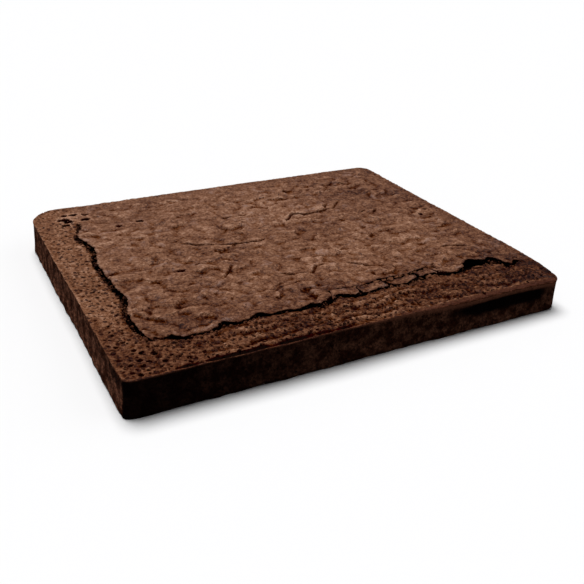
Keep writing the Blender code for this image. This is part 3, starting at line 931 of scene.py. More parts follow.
def make_relief_shading_map():
    columns, rows = round(LENGTH / TINT_CELL), round(DEPTH / TINT_CELL)
    x, y = np.meshgrid(
        np.arange(columns + 1) * TINT_CELL - LENGTH / 2, np.arange(rows + 1) * TINT_CELL - DEPTH / 2,
        indexing="ij",
    )
    across, along = x.ravel(), y.ravel()
    inset = inset_from_edges(across, along)
    heights = baked_height(across, along, inset, as_flat(across, along)).reshape(x.shape)
    return heights - blurred(heights, round(TINT_REACH / TINT_CELL))


RELIEF_SHADING_MAP = make_relief_shading_map()
print("tint map:", RELIEF_SHADING_MAP.shape, "relief in mm:", RELIEF_SHADING_MAP.min().round(2), "to", RELIEF_SHADING_MAP.max().round(2))


def relief_shading(x, y):
    """0 in a valley, a half on the level and 1 on a puffed top."""
    columns, rows = RELIEF_SHADING_MAP.shape
    u = np.clip((x + LENGTH / 2) / TINT_CELL, 0, columns - 1.001)
    v = np.clip((y + DEPTH / 2) / TINT_CELL, 0, rows - 1.001)
    i, j = u.astype(int), v.astype(int)
    u, v = u - i, v - j
    near = RELIEF_SHADING_MAP[i, j] * (1 - v) + RELIEF_SHADING_MAP[i, j + 1] * v
    far = RELIEF_SHADING_MAP[i + 1, j] * (1 - v) + RELIEF_SHADING_MAP[i + 1, j + 1] * v
    return np.clip(0.5 + (near * (1 - u) + far * u) / (2 * TINT_HEIGHT), 0, 1)


# %% [markdown]
# Every piece starts as lists of points and faces, because a rule can name them in order. They come
# out far too fine. A Decimate modifier then keeps the triangles where there is relief, which no even
# grid does.

# %% Tools for meshes
TRIANGLES_PER_PIECE = 192000


def mesh_object(name, points, faces, masks, slots):
    """A mesh from points in mm, with a named value for each point and a material slot for each face."""
    mesh = bpy.data.meshes.new(name)
    mesh.from_pydata((points * MM).tolist(), [], faces)
    for key, values in masks.items():
        mesh.attributes.new(key, "FLOAT", "POINT").data.foreach_set("value", values.astype(np.float32))
    mesh.polygons.foreach_set("material_index", np.asarray(slots, np.int32))
    mesh.validate()
    made = bpy.data.objects.new(name, mesh)
    bpy.context.scene.collection.objects.link(made)
    return made


def baked_mesh(made):
    """The object's mesh as its modifiers leave it, with the modifiers removed."""
    graph = bpy.context.evaluated_depsgraph_get()
    mesh = bpy.data.meshes.new_from_object(made.evaluated_get(graph))
    old = made.data
    made.modifiers.clear()
    made.data = mesh
    bpy.data.meshes.remove(old)
    mesh.name = made.name
    return made


def triangle_count(made):
    made.data.calc_loop_triangles()
    return len(made.data.loop_triangles)


def thin_out(made, most):
    before = triangle_count(made)
    if before > most:
        thin = made.modifiers.new("thin out", "DECIMATE")
        thin.ratio = most / before
        thin.use_collapse_triangulate = True
        baked_mesh(made)
    made.data.shade_smooth()
    print(made.name, "triangles:", before, "then", triangle_count(made))


def grid_of(columns, rows):
    """Numbers the points of a grid, its faces, and its outline in order, seen from above."""
    index = np.arange((columns + 1) * (rows + 1)).reshape(columns + 1, rows + 1)
    corners = [index[:-1, :-1], index[1:, :-1], index[1:, 1:], index[:-1, 1:]]
    faces = np.stack([c.ravel() for c in corners], axis=1)
    ring = np.concatenate([index[:-1, 0], index[-1, :-1], index[:0:-1, -1], index[0, :0:-1]])
    return faces, ring


print("triangles a piece at most:", TRIANGLES_PER_PIECE)

# %% [markdown]
# The body is the crumb with its rim and walls: a fine grid on top, a wall of stacked rings and one face
# below. Its masks say where it was cut and where painted shade lies, how far down the wall and how far
# inside the edge each point lies, so that the finishes can follow the form.

# %% The body: crumb, rim and walls
BODY_CELL = 0.6
WALL_RINGS = 34
FULL_CUT = 2.5


def make_body():
    columns, rows = round(LENGTH / BODY_CELL), round(DEPTH / BODY_CELL)
    faces, ring = grid_of(columns, rows)
    corner = (LENGTH / 2, DEPTH / 2)
    x, y = [side.ravel() for side in grid_points((-corner[0], -corner[1]), corner, columns, rows)]
    levels = 1 - np.linspace(0, 1, WALL_RINGS + 1)[1:]
    count, around = len(x), len(ring)
    all_x = np.concatenate([x] + [x[ring]] * WALL_RINGS)
    all_y = np.concatenate([y] + [y[ring]] * WALL_RINGS)
    share = np.concatenate([np.ones(count)] + [np.full(around, level) for level in levels])
    points, cut, inset = shape(all_x, all_y, share, body_height)
    all_faces = faces.tolist()
    upper = ring
    for level in range(WALL_RINGS):
        lower = count + level * around + np.arange(around)
        all_faces += np.stack([upper, lower, np.roll(lower, -1), np.roll(upper, -1)], axis=1).tolist()
        upper = lower
    all_faces.append(upper[::-1].tolist())
    slots = [0] * len(faces) + [1] * (len(all_faces) - len(faces))
    top = share == 1
    # On the walls the cut mask holds the painted shade of the hollow under the lip.
    masks = {
        "cut": np.where(top, np.clip(cut / FULL_CUT, 0, 1), hollow_shade(all_x, all_y, share)),
        "wall": 1 - share, "inset": inset, "puff": relief_shading(all_x, all_y),
        "torn": np.zeros(len(all_x)), "rim": 1 - on_plate(all_x, all_y),
    }
    return mesh_object("slab_body", points, all_faces, masks, slots)


body = make_body()
lowest, highest = np.array(body.bound_box).min(0), np.array(body.bound_box).max(0)
centring = Vector((*(-(lowest + highest)[:2] / 2), 0.0))
body.data.transform(Matrix.Translation(centring))
print("the body's box in mm:", np.round((highest - lowest) / MM, 2))
print("centred by, in mm:", np.round(centring / MM, 3))

# %% [markdown]
# The crust's torn edge isn't a grid line. A Boolean could cut it, but it would leave slivers. So the
# cells inside the edge are kept, and the outermost points are pulled onto it by two Newton steps
# along the slope of the distance to it.

# %% Tools for a torn edge
SLOPE_STEP = 0.15
LEAST_STEEPNESS = 0.25
LONGEST_PULL = 1.2


def connected(mask, seeds):
    """The part of a mask of cells that can be reached from the seed cells."""
    reached = np.zeros_like(mask)
    for column, row in seeds:
        reached[column, row] = mask[column, row]
    while True:
        grown = reached.copy()
        grown[1:] |= reached[:-1]
        grown[:-1] |= reached[1:]
        grown[:, 1:] |= reached[:, :-1]
        grown[:, :-1] |= reached[:, 1:]
        grown &= mask
        if (grown == reached).all():
            return reached
        reached = grown


def without_pinches(mask):
    """Fills cells until no two kept cells meet at a corner alone."""
    while True:
        a, b, c, d = mask[:-1, :-1], mask[1:, :-1], mask[1:, 1:], mask[:-1, 1:]
        pinch = (a & c & ~b & ~d) | (b & d & ~a & ~c)
        if not pinch.any():
            return mask
        mask[:-1, :-1] |= pinch
        mask[1:, 1:] |= pinch
        mask[1:, :-1] |= pinch


def pulled_to_edge(x, y, distance, inside, target=0.0):
    """Moves points along the slope of a distance until it has the target value there."""
    step = SLOPE_STEP
    slope_x = (distance(x + step, y) - distance(x - step, y)) / (2 * step)
    slope_y = (distance(x, y + step) - distance(x, y - step)) / (2 * step)
    steep = np.maximum(slope_x ** 2 + slope_y ** 2, LEAST_STEEPNESS)
    pull = np.clip((target - inside) / steep, -LONGEST_PULL, LONGEST_PULL)
    return x + pull * slope_x, y + pull * slope_y


def walk_loops(starts, ends):
    """Joins edges, each from a start to an end, into closed loops."""
    following = dict(zip(starts.tolist(), ends.tolist()))
    loops = []
    while following:
        first, point = next(iter(following.items()))
        loop = [first]
        del following[first]
        while point != first:
            loop.append(point)
            point = following.pop(point)
        loops.append(loop)
    return loops


def cells_inside(inside, low, cell, seeds):
    """The cells that touch the region and are joined to a seed place, with all holes filled."""
    kept = (inside[:-1, :-1] > 0) | (inside[1:, :-1] > 0) | (inside[1:, 1:] > 0) | (inside[:-1, 1:] > 0)
    starts = [(round((x - low[0]) / cell), round((y - low[1]) / cell)) for x, y in seeds]
    kept = without_pinches(connected(kept, starts))
    framed = np.pad(kept, 1)
    return ~connected(~framed, [(0, 0)])[1:-1, 1:-1]


print("the slope is measured over", 2 * SLOPE_STEP, "mm")

# %% [markdown]
# The crust is a thin, brittle shell. Solidify would give it a back, but here only its edge is seen
# from the side. So the shell turns under at the edge: a broken face as thick as the crust, a short
# underside, and a hidden skirt that closes it below.

# %% A shell with a torn edge
CRUST_THICKNESS = 1.0
UNDERSIDE = 2.2
SKIRT_FOOT = 14.5
EDGE_SHADES = (0.25, 0.7, 1.0, 1.0)


def rings_under(top, under, thickness):
    """The rings of points below the torn edge, from the broken face to the skirt's foot."""
    turned = np.column_stack([under[:, :2], top[:, 2]])
    underside = np.minimum(top[:, 2], under[:, 2]) - 1.35 * thickness
    return [
        top - (0, 0, 0.45 * thickness),
        top * 0.9 + turned * 0.1 - (0, 0, thickness),
        np.column_stack([under[:, :2], underside]),
        np.column_stack([under[:, :2], np.full(len(top), SKIRT_FOOT)]),
    ]


def crust_shell(name, low, high, cell, seeds, distance, top_of, thickness):
    """A closed shell over the region where distance(x, y) is above 0 and that holds the seed places."""
    columns, rows = round((high[0] - low[0]) / cell), round((high[1] - low[1]) / cell)
    x, y = [side.ravel() for side in grid_points(low, high, columns, rows)]
    inside = distance(x, y)
    kept = cells_inside(inside.reshape(columns + 1, rows + 1), low, cell, seeds)
    faces = grid_of(columns, rows)[0][kept.ravel()]

    sides = np.concatenate([faces[:, [i, (i + 1) % 4]] for i in range(4)])
    code, back = sides[:, 0] * len(x) + sides[:, 1], sides[:, 1] * len(x) + sides[:, 0]
    border = sides[~np.isin(code, back)]
    rim = np.unique(border)
    edge_x, edge_y = pulled_to_edge(x[rim], y[rim], distance, inside[rim])
    edge_x, edge_y = pulled_to_edge(edge_x, edge_y, distance, distance(edge_x, edge_y))
    x[rim], y[rim] = edge_x, edge_y

    used, numbered = np.unique(faces, return_inverse=True)
    faces = numbered.reshape(faces.shape)
    border = np.searchsorted(used, border)
    rim = np.searchsorted(used, rim)
    x, y = x[used], y[used]
    points, masks = top_of(x, y)
    count = len(x)

    def smooth_inside(px, py):
        return distance(px, py, False)

    level = smooth_inside(x[rim], y[rim])
    under_x, under_y = pulled_to_edge(x[rim], y[rim], smooth_inside, level, UNDERSIDE)
    rings = rings_under(points[rim], top_of(under_x, under_y)[0], thickness)
    position = np.full(count, -1)
    position[rim] = np.arange(len(rim))
    starts, ends = position[border[:, 0]], position[border[:, 1]]
    quads, upper_start, upper_end = [faces], border[:, 0], border[:, 1]
    for ring in range(len(rings)):
        lower_start = count + ring * len(rim) + starts
        lower_end = count + ring * len(rim) + ends
        quads.append(np.stack([upper_end, upper_start, lower_start, lower_end], axis=1))
        upper_start, upper_end = lower_start, lower_end
    all_faces = np.concatenate(quads).tolist()
    all_faces += [loop[::-1] for loop in walk_loops(upper_start, upper_end)]
    points = np.concatenate([points] + rings)
    masks = {
        key: np.concatenate([values, np.tile(values[rim], len(rings))]) for key, values in masks.items()
    }
    # Painted shade under the torn edge: the broken face darkens downwards and the underside is black.
    masks["cut"][count:] = np.repeat(EDGE_SHADES, len(rim))
    print(name, "torn and grown edge:", len(rim), "points")
    return mesh_object(name, points, all_faces, masks, [0] * len(all_faces))


# %% [markdown]
# The risen crust covers the whole middle. Where it is still grown to the rim its edge dives under it,
# so the two surfaces cross in a line that can't be seen.

# %% The risen crust
PLATE_CELL = 0.6
PLATE_BOX = ((-136.0, -102.0), (149.0, 124.0))
DIVE = 1.6
DIVE_FROM = (0.4, 2.4)
FRAY = 0.25
FRAY_REACH = 1.5


def plate_distance(x, y, jagged=True):
    inside, openness = crust_edge(x, y)
    return inside if jagged else inside + torn(as_flat(x, y)) * openness


def plate_top(x, y):
    inside, openness = crust_edge(x, y)
    dive = DIVE * (1 - openness) * (1 - smooth_step(inside, *DIVE_FROM))

    def height_of(px, py, inset, flat):
        edge_fray = FRAY * openness * (1 - smooth_step(inside, 0.0, FRAY_REACH))
        creases, holes = crease_cut(px, py, flat)
        height = baked_height(px, py, inset, flat) - dive - edge_fray
        return height, np.maximum(CREASE_SHADE * creases, holes)

    points, cut, inset = shape(x, y, np.ones(len(x)), height_of)
    masks = {
        "cut": np.clip(cut / FULL_CUT, 0, 1), "wall": np.zeros(len(x)), "inset": inset,
        "puff": relief_shading(x, y), "rim": 1 - on_plate(x, y),
        "torn": openness * (1 - smooth_step(inside, 0.2, 1.6)),
    }
    return points, masks


plate = crust_shell(
    "crust_plate", *PLATE_BOX, PLATE_CELL, [(0.0, 0.0)], plate_distance, plate_top, CRUST_THICKNESS
)
plate.data.transform(Matrix.Translation(centring))

# %% [markdown]
# Between the two front cracks a strip of crust has broken off and sunk. Cross cracks part it into
# four flat fragments. Each has tilted its own way and curls up at its edges. One shell with four
# parts makes them all, as they share their cracks.

# %% The broken strip
STRIP_CELL = 0.45
STRIP_BOX = ((-12.0, -98.0), (80.0, -74.0))
STRIP_THICKNESS = 0.9
FRAGMENT_SEEDS = [(3.0, -86.5), (24.0, -87.0), (48.0, -86.0), (68.0, -83.0)]
FRAGMENT_TILT = ((0.02, 0.05), (-0.05, 0.10), (0.04, -0.08), (-0.06, 0.09))
FRAGMENT_DROP = (0.5, 1.5, 1.2, 0.9)
FRAGMENT_CURL = 0.8
CURL_REACH = 2.6
CURL_SPACING = 8.0


def strip_distance(x, y, jagged=True):
    jag = torn(as_flat(x, y)) if jagged else 0.0
    front, front_width = across_front(x, y)
    upper, upper_width = across_upper(x, y)
    inside = np.minimum(front - front_width / 2 - jag, -upper - upper_width / 2 + 0.7 * jag)
    for route in CROSS_CRACKS:
        gap, width = along_route(x, y, route)
        inside = np.minimum(inside, gap - width / 2 + 0.5 * jag)
    return np.minimum(inside, np.minimum(x - STRIP_X[0] - 0.35 * (y + 92), STRIP_X[1] - 1 - x))


def strip_top(x, y):
    place = np.array(FRAGMENT_SEEDS)
    number = np.argmin(np.abs(x[:, None] - place[None, :, 0]), axis=1)
    tilt, drop = np.array(FRAGMENT_TILT)[number], np.array(FRAGMENT_DROP)[number]
    lean = tilt[:, 0] * (x - place[number, 0]) + tilt[:, 1] * (y - place[number, 1])
    inside = strip_distance(x, y, False)
    curl = 0.4 + noise_field(as_flat(x, y), CURL_SPACING, "curl")
    curl *= FRAGMENT_CURL * (1 - smooth_step(inside, 0.0, CURL_REACH))

    def height_of(px, py, inset, flat):
        return baked_height(px, py, inset, flat) - drop + lean + curl, np.zeros(len(px))

    points, cut, inset = shape(x, y, np.ones(len(x)), height_of)
    masks = {
        "cut": cut, "wall": np.zeros(len(x)), "inset": inset, "puff": relief_shading(x, y),
        "rim": 1 - on_plate(x, y),
        "torn": 1 - smooth_step(inside, 0.2, 1.8),
    }
    return points, masks


strip = crust_shell(
    "crust_strip", *STRIP_BOX, STRIP_CELL, FRAGMENT_SEEDS, strip_distance, strip_top, STRIP_THICKNESS
)
strip.data.transform(Matrix.Translation(centring))
for piece in (body, plate, strip):
    thin_out(piece, TRIANGLES_PER_PIECE)

# %% [markdown]
# A finish is a tree of shader nodes. These helpers each add one node and hand back its output, so a
# tree can be read as a sum. Colours are named as the screen shows them and turned into surface
# colours here, because the light and the faint sheen both lift them.

# %% Helpers for node trees
TOP_LIGHT = 1.08
SHEEN_SHARE = 0.010


def seen_as(red, green, blue):
    """The surface colour that looks like this screen colour under the studio light."""
    values = [channel / 255 for channel in (red, green, blue)]
    linear = [v / 12.92 if v <= 0.04045 else ((v + 0.055) / 1.055) ** 2.4 for v in values]
    return (*[max((v - SHEEN_SHARE) / TOP_LIGHT, 0.0006) for v in linear], 1.0)


def add(tree, kind, **settings):
    node = tree.nodes.new(kind)
    for key, value in settings.items():
        setattr(node, key, value)
    return node


def feed(tree, socket, value):
    """Links an output to a socket, or sets the socket to a plain value."""
    if isinstance(value, bpy.types.NodeSocket):
        tree.links.new(value, socket)
    else:
        socket.default_value = value


def calculate(tree, operation, *values):
    node = add(tree, "ShaderNodeMath", operation=operation)
    for socket, value in zip(node.inputs, values):
        feed(tree, socket, value)
    return node.outputs[0]


def times(tree, *values):
    """The product of two or more values."""
    product = values[0]
    for value in values[1:]:
        product = calculate(tree, "MULTIPLY", product, value)
    return product


def mix_colours(tree, share, first, second, blend="MIX"):
    node = add(tree, "ShaderNodeMix", data_type="RGBA", blend_type=blend)
    feed(tree, node.inputs["Factor"], share)
    feed(tree, node.inputs["A"], first)
    feed(tree, node.inputs["B"], second)
    return node.outputs["Result"]


def stretch(tree, value, low, high, to_low=0.0, to_high=1.0):
    node = add(tree, "ShaderNodeMapRange", interpolation_type="SMOOTHSTEP")
    for socket, given in zip(node.inputs, (value, low, high, to_low, to_high)):
        feed(tree, socket, given)
    return node.outputs["Result"]


def noise_at(tree, place, size_mm, detail=2.0, roughness=0.5, distortion=0.0):
    """Noise whose largest waves are about size_mm long."""
    node = add(tree, "ShaderNodeTexNoise")
    feed(tree, node.inputs["Vector"], place)
    node.inputs["Scale"].default_value = 1 / (size_mm * MM)
    node.inputs["Detail"].default_value = detail
    node.inputs["Roughness"].default_value = roughness
    node.inputs["Distortion"].default_value = distortion
    return node.outputs["Fac"]


def mask_of(tree, name):
    return add(tree, "ShaderNodeAttribute", attribute_name=name).outputs["Fac"]


def new_group(name, inputs, outputs):
    """An empty shader group with named sockets: (tree, its input node, its output node)."""
    tree = bpy.data.node_groups.new(name, "ShaderNodeTree")
    for in_out, sockets in (("INPUT", inputs), ("OUTPUT", outputs)):
        for socket, kind in sockets.items():
            tree.interface.new_socket(socket, in_out=in_out, socket_type="NodeSocket" + kind)
    return tree, add(tree, "NodeGroupInput"), add(tree, "NodeGroupOutput")


print("a screen grey of 128 comes from a surface of", round(seen_as(128, 128, 128)[0], 3))

# %% [markdown]
# Three looks are shared by several materials, so each is a node group with its own inputs: the
# speckle of sugar and flour, the small burst bubbles, and the scale of oven colours from moist to
# baked. A change in a group then changes every finish alike.

# %% Shared looks
OVEN_TONES = (
    (0.00, (40, 14, 6)), (0.22, (76, 41, 25)), (0.48, (113, 73, 51)), (0.72, (141, 98, 73)),
    (1.00, (178, 136, 112)),
)


def grain_group():
    tree, given, result = new_group(
        "baked grain", {"Place": "Vector", "Grains per Metre": "Float"},
        {"Speckle": "Float", "Height": "Float"},
    )
    fine = add(tree, "ShaderNodeTexNoise")
    fine.inputs["Detail"].default_value = 3.0
    fine.inputs["Roughness"].default_value = 0.7
    cells = add(tree, "ShaderNodeTexVoronoi", feature="F1")
    for node in (fine, cells):
        tree.links.new(given.outputs["Place"], node.inputs["Vector"])
        tree.links.new(given.outputs["Grains per Metre"], node.inputs["Scale"])
    half = calculate(tree, "MULTIPLY", cells.outputs["Distance"], 0.5)
    tree.links.new(stretch(tree, fine.outputs["Fac"], 0.30, 0.70), result.inputs["Speckle"])
    tree.links.new(calculate(tree, "SUBTRACT", fine.outputs["Fac"], half), result.inputs["Height"])
    return tree


def bubble_group():
    tree, given, result = new_group(
        "burst bubbles", {"Place": "Vector", "Bubbles per Metre": "Float", "Widest": "Float"},
        {"Hole": "Float"},
    )
    cells = add(tree, "ShaderNodeTexVoronoi", feature="F1")
    tree.links.new(given.outputs["Place"], cells.inputs["Vector"])
    tree.links.new(given.outputs["Bubbles per Metre"], cells.inputs["Scale"])
    drawn = add(tree, "ShaderNodeSeparateColor")
    tree.links.new(cells.outputs["Color"], drawn.inputs["Color"])
    radius = times(tree, given.outputs["Widest"], calculate(tree, "POWER", drawn.outputs[0], 2.0))
    edge = calculate(tree, "MULTIPLY", radius, 0.55)
    hole = stretch(tree, cells.outputs["Distance"], edge, calculate(tree, "ADD", radius, 0.04), 1.0, 0.0)
    tree.links.new(hole, result.inputs["Hole"])
    return tree


def tone_group():
    tree, given, result = new_group("oven tones", {"Tone": "Float"}, {"Colour": "Color"})
    ramp = add(tree, "ShaderNodeValToRGB")
    stops = ramp.color_ramp.elements
    while len(stops) < len(OVEN_TONES):
        stops.new(0.5)
    for stop, (place, colour) in zip(stops, OVEN_TONES):
        stop.position = place
        stop.color = seen_as(*colour)
    tree.links.new(given.outputs["Tone"], ramp.inputs["Fac"])
    tree.links.new(ramp.outputs["Color"], result.inputs["Colour"])
    return tree


GRAIN, BUBBLES, TONES = grain_group(), bubble_group(), tone_group()


def use_group(tree, group, **values):
    """A group node; an input's name is written with low lines for its spaces."""
    node = add(tree, "ShaderNodeGroup", node_tree=group)
    for key, value in values.items():
        feed(tree, node.inputs[key.replace("_", " ")], value)
    return node.outputs


for group in (GRAIN, BUBBLES, TONES):
    print("node group:", group.name, [item.name for item in group.interface.items_tree])

# %% [markdown]
# Every finish starts alike: a Principled shader with its gloss set on it, the place on the piece that
# patterns read, and bumps laid one on the other.

# %% Start of a finish


def start_material(name, spec, rough):
    """A new material with its shader: (material, tree, shader, the place it reads)."""
    material, tree = new_material(name)
    shader = add(tree, "ShaderNodeBsdfPrincipled")
    shader.inputs["Specular IOR Level"].default_value = spec
    shader.inputs["Roughness"].default_value = rough
    tree.links.new(shader.outputs[0], add(tree, "ShaderNodeOutputMaterial").inputs["Surface"])
    return material, tree, shader, add(tree, "ShaderNodeTexCoord").outputs["Object"]


def axes_of(tree, place):
    """The place's X and Y."""
    axes = add(tree, "ShaderNodeSeparateXYZ")
    tree.links.new(place, axes.inputs[0])
    return axes.outputs["X"], axes.outputs["Y"]


def add_bump(tree, shader, height, depth_mm, before=None):
    bump_node = add(tree, "ShaderNodeBump")
    bump_node.inputs["Distance"].default_value = depth_mm * MM
    feed(tree, bump_node.inputs["Height"], height)
    if before is not None:
        tree.links.new(before, bump_node.inputs["Normal"])
    tree.links.new(bump_node.outputs["Normal"], shader.inputs["Normal"])
    return bump_node.outputs["Normal"]


def range_mask(tree, value, rising, falling):
    """1 where a value is past the first range and before the second."""
    return times(tree, stretch(tree, value, *rising), stretch(tree, value, *falling, 1.0, 0.0))


def sum_of(tree, *parts):
    """Adds up (value, middle, share): share * (value - middle) of each."""
    total = 0.0
    for value, middle, share in parts:
        part = calculate(tree, "MULTIPLY_ADD", value, share, -middle * share)
        total = calculate(tree, "ADD", part, total)
    return total


print("helpers for finishes are ready")

# %% [markdown]
# Baked crust isn't one brown. A tone from 0 to 1 adds up the relief's painted shade and light, the mottling
# and the speckle. Painted shade lowers it towards the front and the right, and on the right of the rim. The
# front edge gets painted shade on its lip, a painted highlight on the ridge where it rounds off, and the lip
# line a faint painted highlight. The places are metres on the slab.

# %% Tone of the crust
GRAINS = 560.0
FRONT_LIP_Y = (-0.1246, -0.1234)
RIDGE_HIGHLIGHT_Y = (-0.1246, -0.1236), (-0.1234, -0.1218)
FRONT_SHADE_Y = (-0.120, -0.03)
ROUNDED_X = (0.0, 0.05)
SHADED_RIM_X = (0.02, 0.10)
SHADED_END_X = (0.02, 0.15)
LIP_INSET = (0.6, 1.8)
MIDDLE_TONE = 0.55


def crust_tone(tree, place, x, y, rim, tint, speckle):
    """The tone of the crust, and a mask of the rounded front edge."""
    mottle = noise_at(tree, place, 13.0, detail=3.0, roughness=0.55, distortion=1.0)
    broad = noise_at(tree, place, 70.0)
    front_shade = stretch(tree, y, *FRONT_SHADE_Y, 1.0, 0.0)
    lip = stretch(tree, mask_of(tree, "inset"), *LIP_INSET, 1.0, 0.0)
    at_front = stretch(tree, y, *FRONT_LIP_Y, 1.0, 0.0)
    front_right = stretch(tree, x, *ROUNDED_X)
    # Painted highlight on the ridge where the front edge rounds off at the right.
    ridge_highlight = times(tree, range_mask(tree, y, *RIDGE_HIGHLIGHT_Y), front_right)
    shaded_rim = times(tree, rim, stretch(tree, x, *SHADED_RIM_X))
    shaded_end = stretch(tree, x, *SHADED_END_X)
    # Painted shade lowers the tone towards the front, on the right of the rim, at the right end and on the
    # front lip. The relief's share is painted shade in the valleys and painted light on the puffed tops, and
    # the lip line gets a faint painted highlight.
    tone = sum_of(
        tree, (tint, 0.5, 0.62), (mottle, 0.5, 0.7), (broad, 0.5, 0.5), (speckle, 0.5, 0.50),
        (front_shade, 0.0, -0.24), (rim, 0.0, 0.03), (lip, 0.0, 0.03),
        (times(tree, lip, at_front), 0.0, -0.22), (shaded_rim, 0.0, -0.10), (ridge_highlight, 0.0, 0.13),
        (shaded_end, 0.0, -0.13),
    )
    return calculate(tree, "ADD", tone, MIDDLE_TONE), times(tree, at_front, front_right)


print("front edge in mm:", [round(v / MM, 1) for v in FRONT_LIP_Y])

# %% [markdown]
# Three patterns lie over the tone. Satin streaks of sugar on the puffs are glossier and carry a painted
# sheen, a pale grey that stands in for reflected light. Pinholes of burst bubbles dot the rim, and hairline
# cracks run over the crust in patches.

# %% Patterns of the crust
SMOOTH_RIM_X = (0.136, 0.146)


def gloss_and_sheen_mask(tree, place, rim, tint):
    streaks = noise_at(tree, place, 16.0, detail=5.0, roughness=0.72, distortion=1.5)
    on_puffs = stretch(tree, tint, 0.3, 0.75)
    return times(tree, stretch(tree, streaks, 0.53, 0.66), on_puffs, stretch(tree, rim, 0.0, 1.0, 1.0, 0.25))


def bubble_mask(tree, place, x, rim, rounded):
    holes = use_group(tree, BUBBLES, Place=place, Bubbles_per_Metre=390.0, Widest=0.62)["Hole"]
    on_rim = stretch(tree, rim, 0.0, 1.0, 0.10, 1.0)
    off_edge = stretch(tree, rounded, 0.0, 1.0, 1.0, 0.1)
    return times(tree, holes, on_rim, off_edge, stretch(tree, x, *SMOOTH_RIM_X, 1.0, 0.25))


def hairline_mask(tree, place, rim):
    lines = calculate(tree, "SUBTRACT", noise_at(tree, place, 15.0, detail=3.0, distortion=1.2), 0.5)
    lines = stretch(tree, calculate(tree, "ABSOLUTE", lines), 0.003, 0.014, 1.0, 0.0)
    patches = stretch(tree, noise_at(tree, place, 24.0, detail=1.0), 0.50, 0.60)
    return times(tree, lines, times(tree, patches, stretch(tree, rim, 0.0, 1.0, 0.7, 0.0)))


print("patterns: satin streaks, burst bubbles, hairlines")

# %% [markdown]
# The finish lays them over each other. Last come the broken edges and the cuts. The cuts show the moist
# crumb, reddish where shallow, under painted shade that turns black where they are deep. The gloss follows
# the satin streaks, and dies in the cuts.

# %% Finish of the crust
PAINTED_SHEEN_GREY = seen_as(150, 117, 106)
BROKEN_BROWN = seen_as(64, 33, 20)
SHADED_CRUMB_RED = seen_as(50, 21, 11)
ROUNDED_BROWN = seen_as(80, 46, 35)
LIP_HIGHLIGHT_BROWN = seen_as(104, 63, 48)
DEEP_SHADE_BLACK = (0.0060, 0.0026, 0.0020, 1.0)


def crust_finish():
    material, tree, shader, place = start_material("baked crust", 0.22, 0.6)
    x, y = axes_of(tree, place)
    grain = use_group(tree, GRAIN, Place=place, Grains_per_Metre=GRAINS)
    rim = stretch(tree, mask_of(tree, "rim"), 0.2, 0.8)
    tint, cut = mask_of(tree, "puff"), mask_of(tree, "cut")
    tone, rounded = crust_tone(tree, place, x, y, rim, tint, grain["Speckle"])
    gloss_and_sheen = gloss_and_sheen_mask(tree, place, rim, tint)
    bubbles = bubble_mask(tree, place, x, rim, rounded)
    turning = stretch(tree, mask_of(tree, "inset"), 0.2, 1.0)
    colour = use_group(tree, TONES, Tone=tone)["Colour"]
    # Over the tone go the painted sheen of the satin streaks, the pinholes and hairlines, the rounded front
    # edge, the broken crust, and the cuts, whose crumb red and black carry painted shade.
    for share, over in (
        (times(tree, gloss_and_sheen, 0.62), PAINTED_SHEEN_GREY),
        (times(tree, bubbles, 0.85), SHADED_CRUMB_RED),
        (hairline_mask(tree, place, rim), SHADED_CRUMB_RED),
        # The rounded front edge at the right turns a darker brown, with a painted highlight on its steep lip
        # line.
        (times(tree, rounded, 0.75), mix_colours(tree, turning, LIP_HIGHLIGHT_BROWN, ROUNDED_BROWN)),
        (times(tree, mask_of(tree, "torn"), 0.5), BROKEN_BROWN),
        (stretch(tree, cut, 0.03, 0.35), SHADED_CRUMB_RED),
        (stretch(tree, cut, 0.35, 0.95), DEEP_SHADE_BLACK),
    ):
        colour = mix_colours(tree, share, colour, over)
    feed(tree, shader.inputs["Base Color"], colour)
    feed(tree, shader.inputs["Roughness"], stretch(tree, gloss_and_sheen, 0.0, 1.0, 0.66, 0.45))
    shine = times(
        tree, stretch(tree, cut, 0.05, 0.4, 1.0, 0.0), stretch(tree, rim, 0.0, 1.0, 0.2, 0.11),
        stretch(tree, tint, 0.1, 0.5),
    )
    feed(tree, shader.inputs["Specular IOR Level"], shine)
    pucker = add_bump(tree, shader, noise_at(tree, place, 3.2, detail=2.0, roughness=0.5), 1.2)
    grainy = add_bump(tree, shader, grain["Height"], 0.8, pucker)
    add_bump(tree, shader, bubbles, -1.0, grainy)
    return material


CRUST = crust_finish()
print("finish:", CRUST.name, "with", len(CRUST.node_tree.nodes), "nodes")

# %% [markdown]
# The walls took the tin's face: tight dark crumb with a fine pitted grain. The left wall is lit, with a band
# of painted shade under its lip. The front wall is painted in shade, almost black at the left and lighter to
# the right, below the hollow. The light alone would not do that, so this painted shade is part of the
# finish. The hollow under the front lip is painted black as shade, and the lip above it gets a painted
# highlight.

# %% Finish of the walls
WALL_DARK = seen_as(84, 49, 38)
WALL_LIGHT = seen_as(176, 118, 94)
LIP_LIT = seen_as(165, 106, 84)
PAINTED_SHADE_BLACK = (0.006, 0.0014, 0.0018, 1.0)
FRONT_WALL_Y = (-0.1245, -0.1230)
LIT_LIP_X = (-0.12, 0.05)
LIT_LIP_FOOT = (-0.04, 0.06, 0.05, 0.20)
UNDER_LIP_SHARES = (0.05, 0.12), (0.25, 0.5)


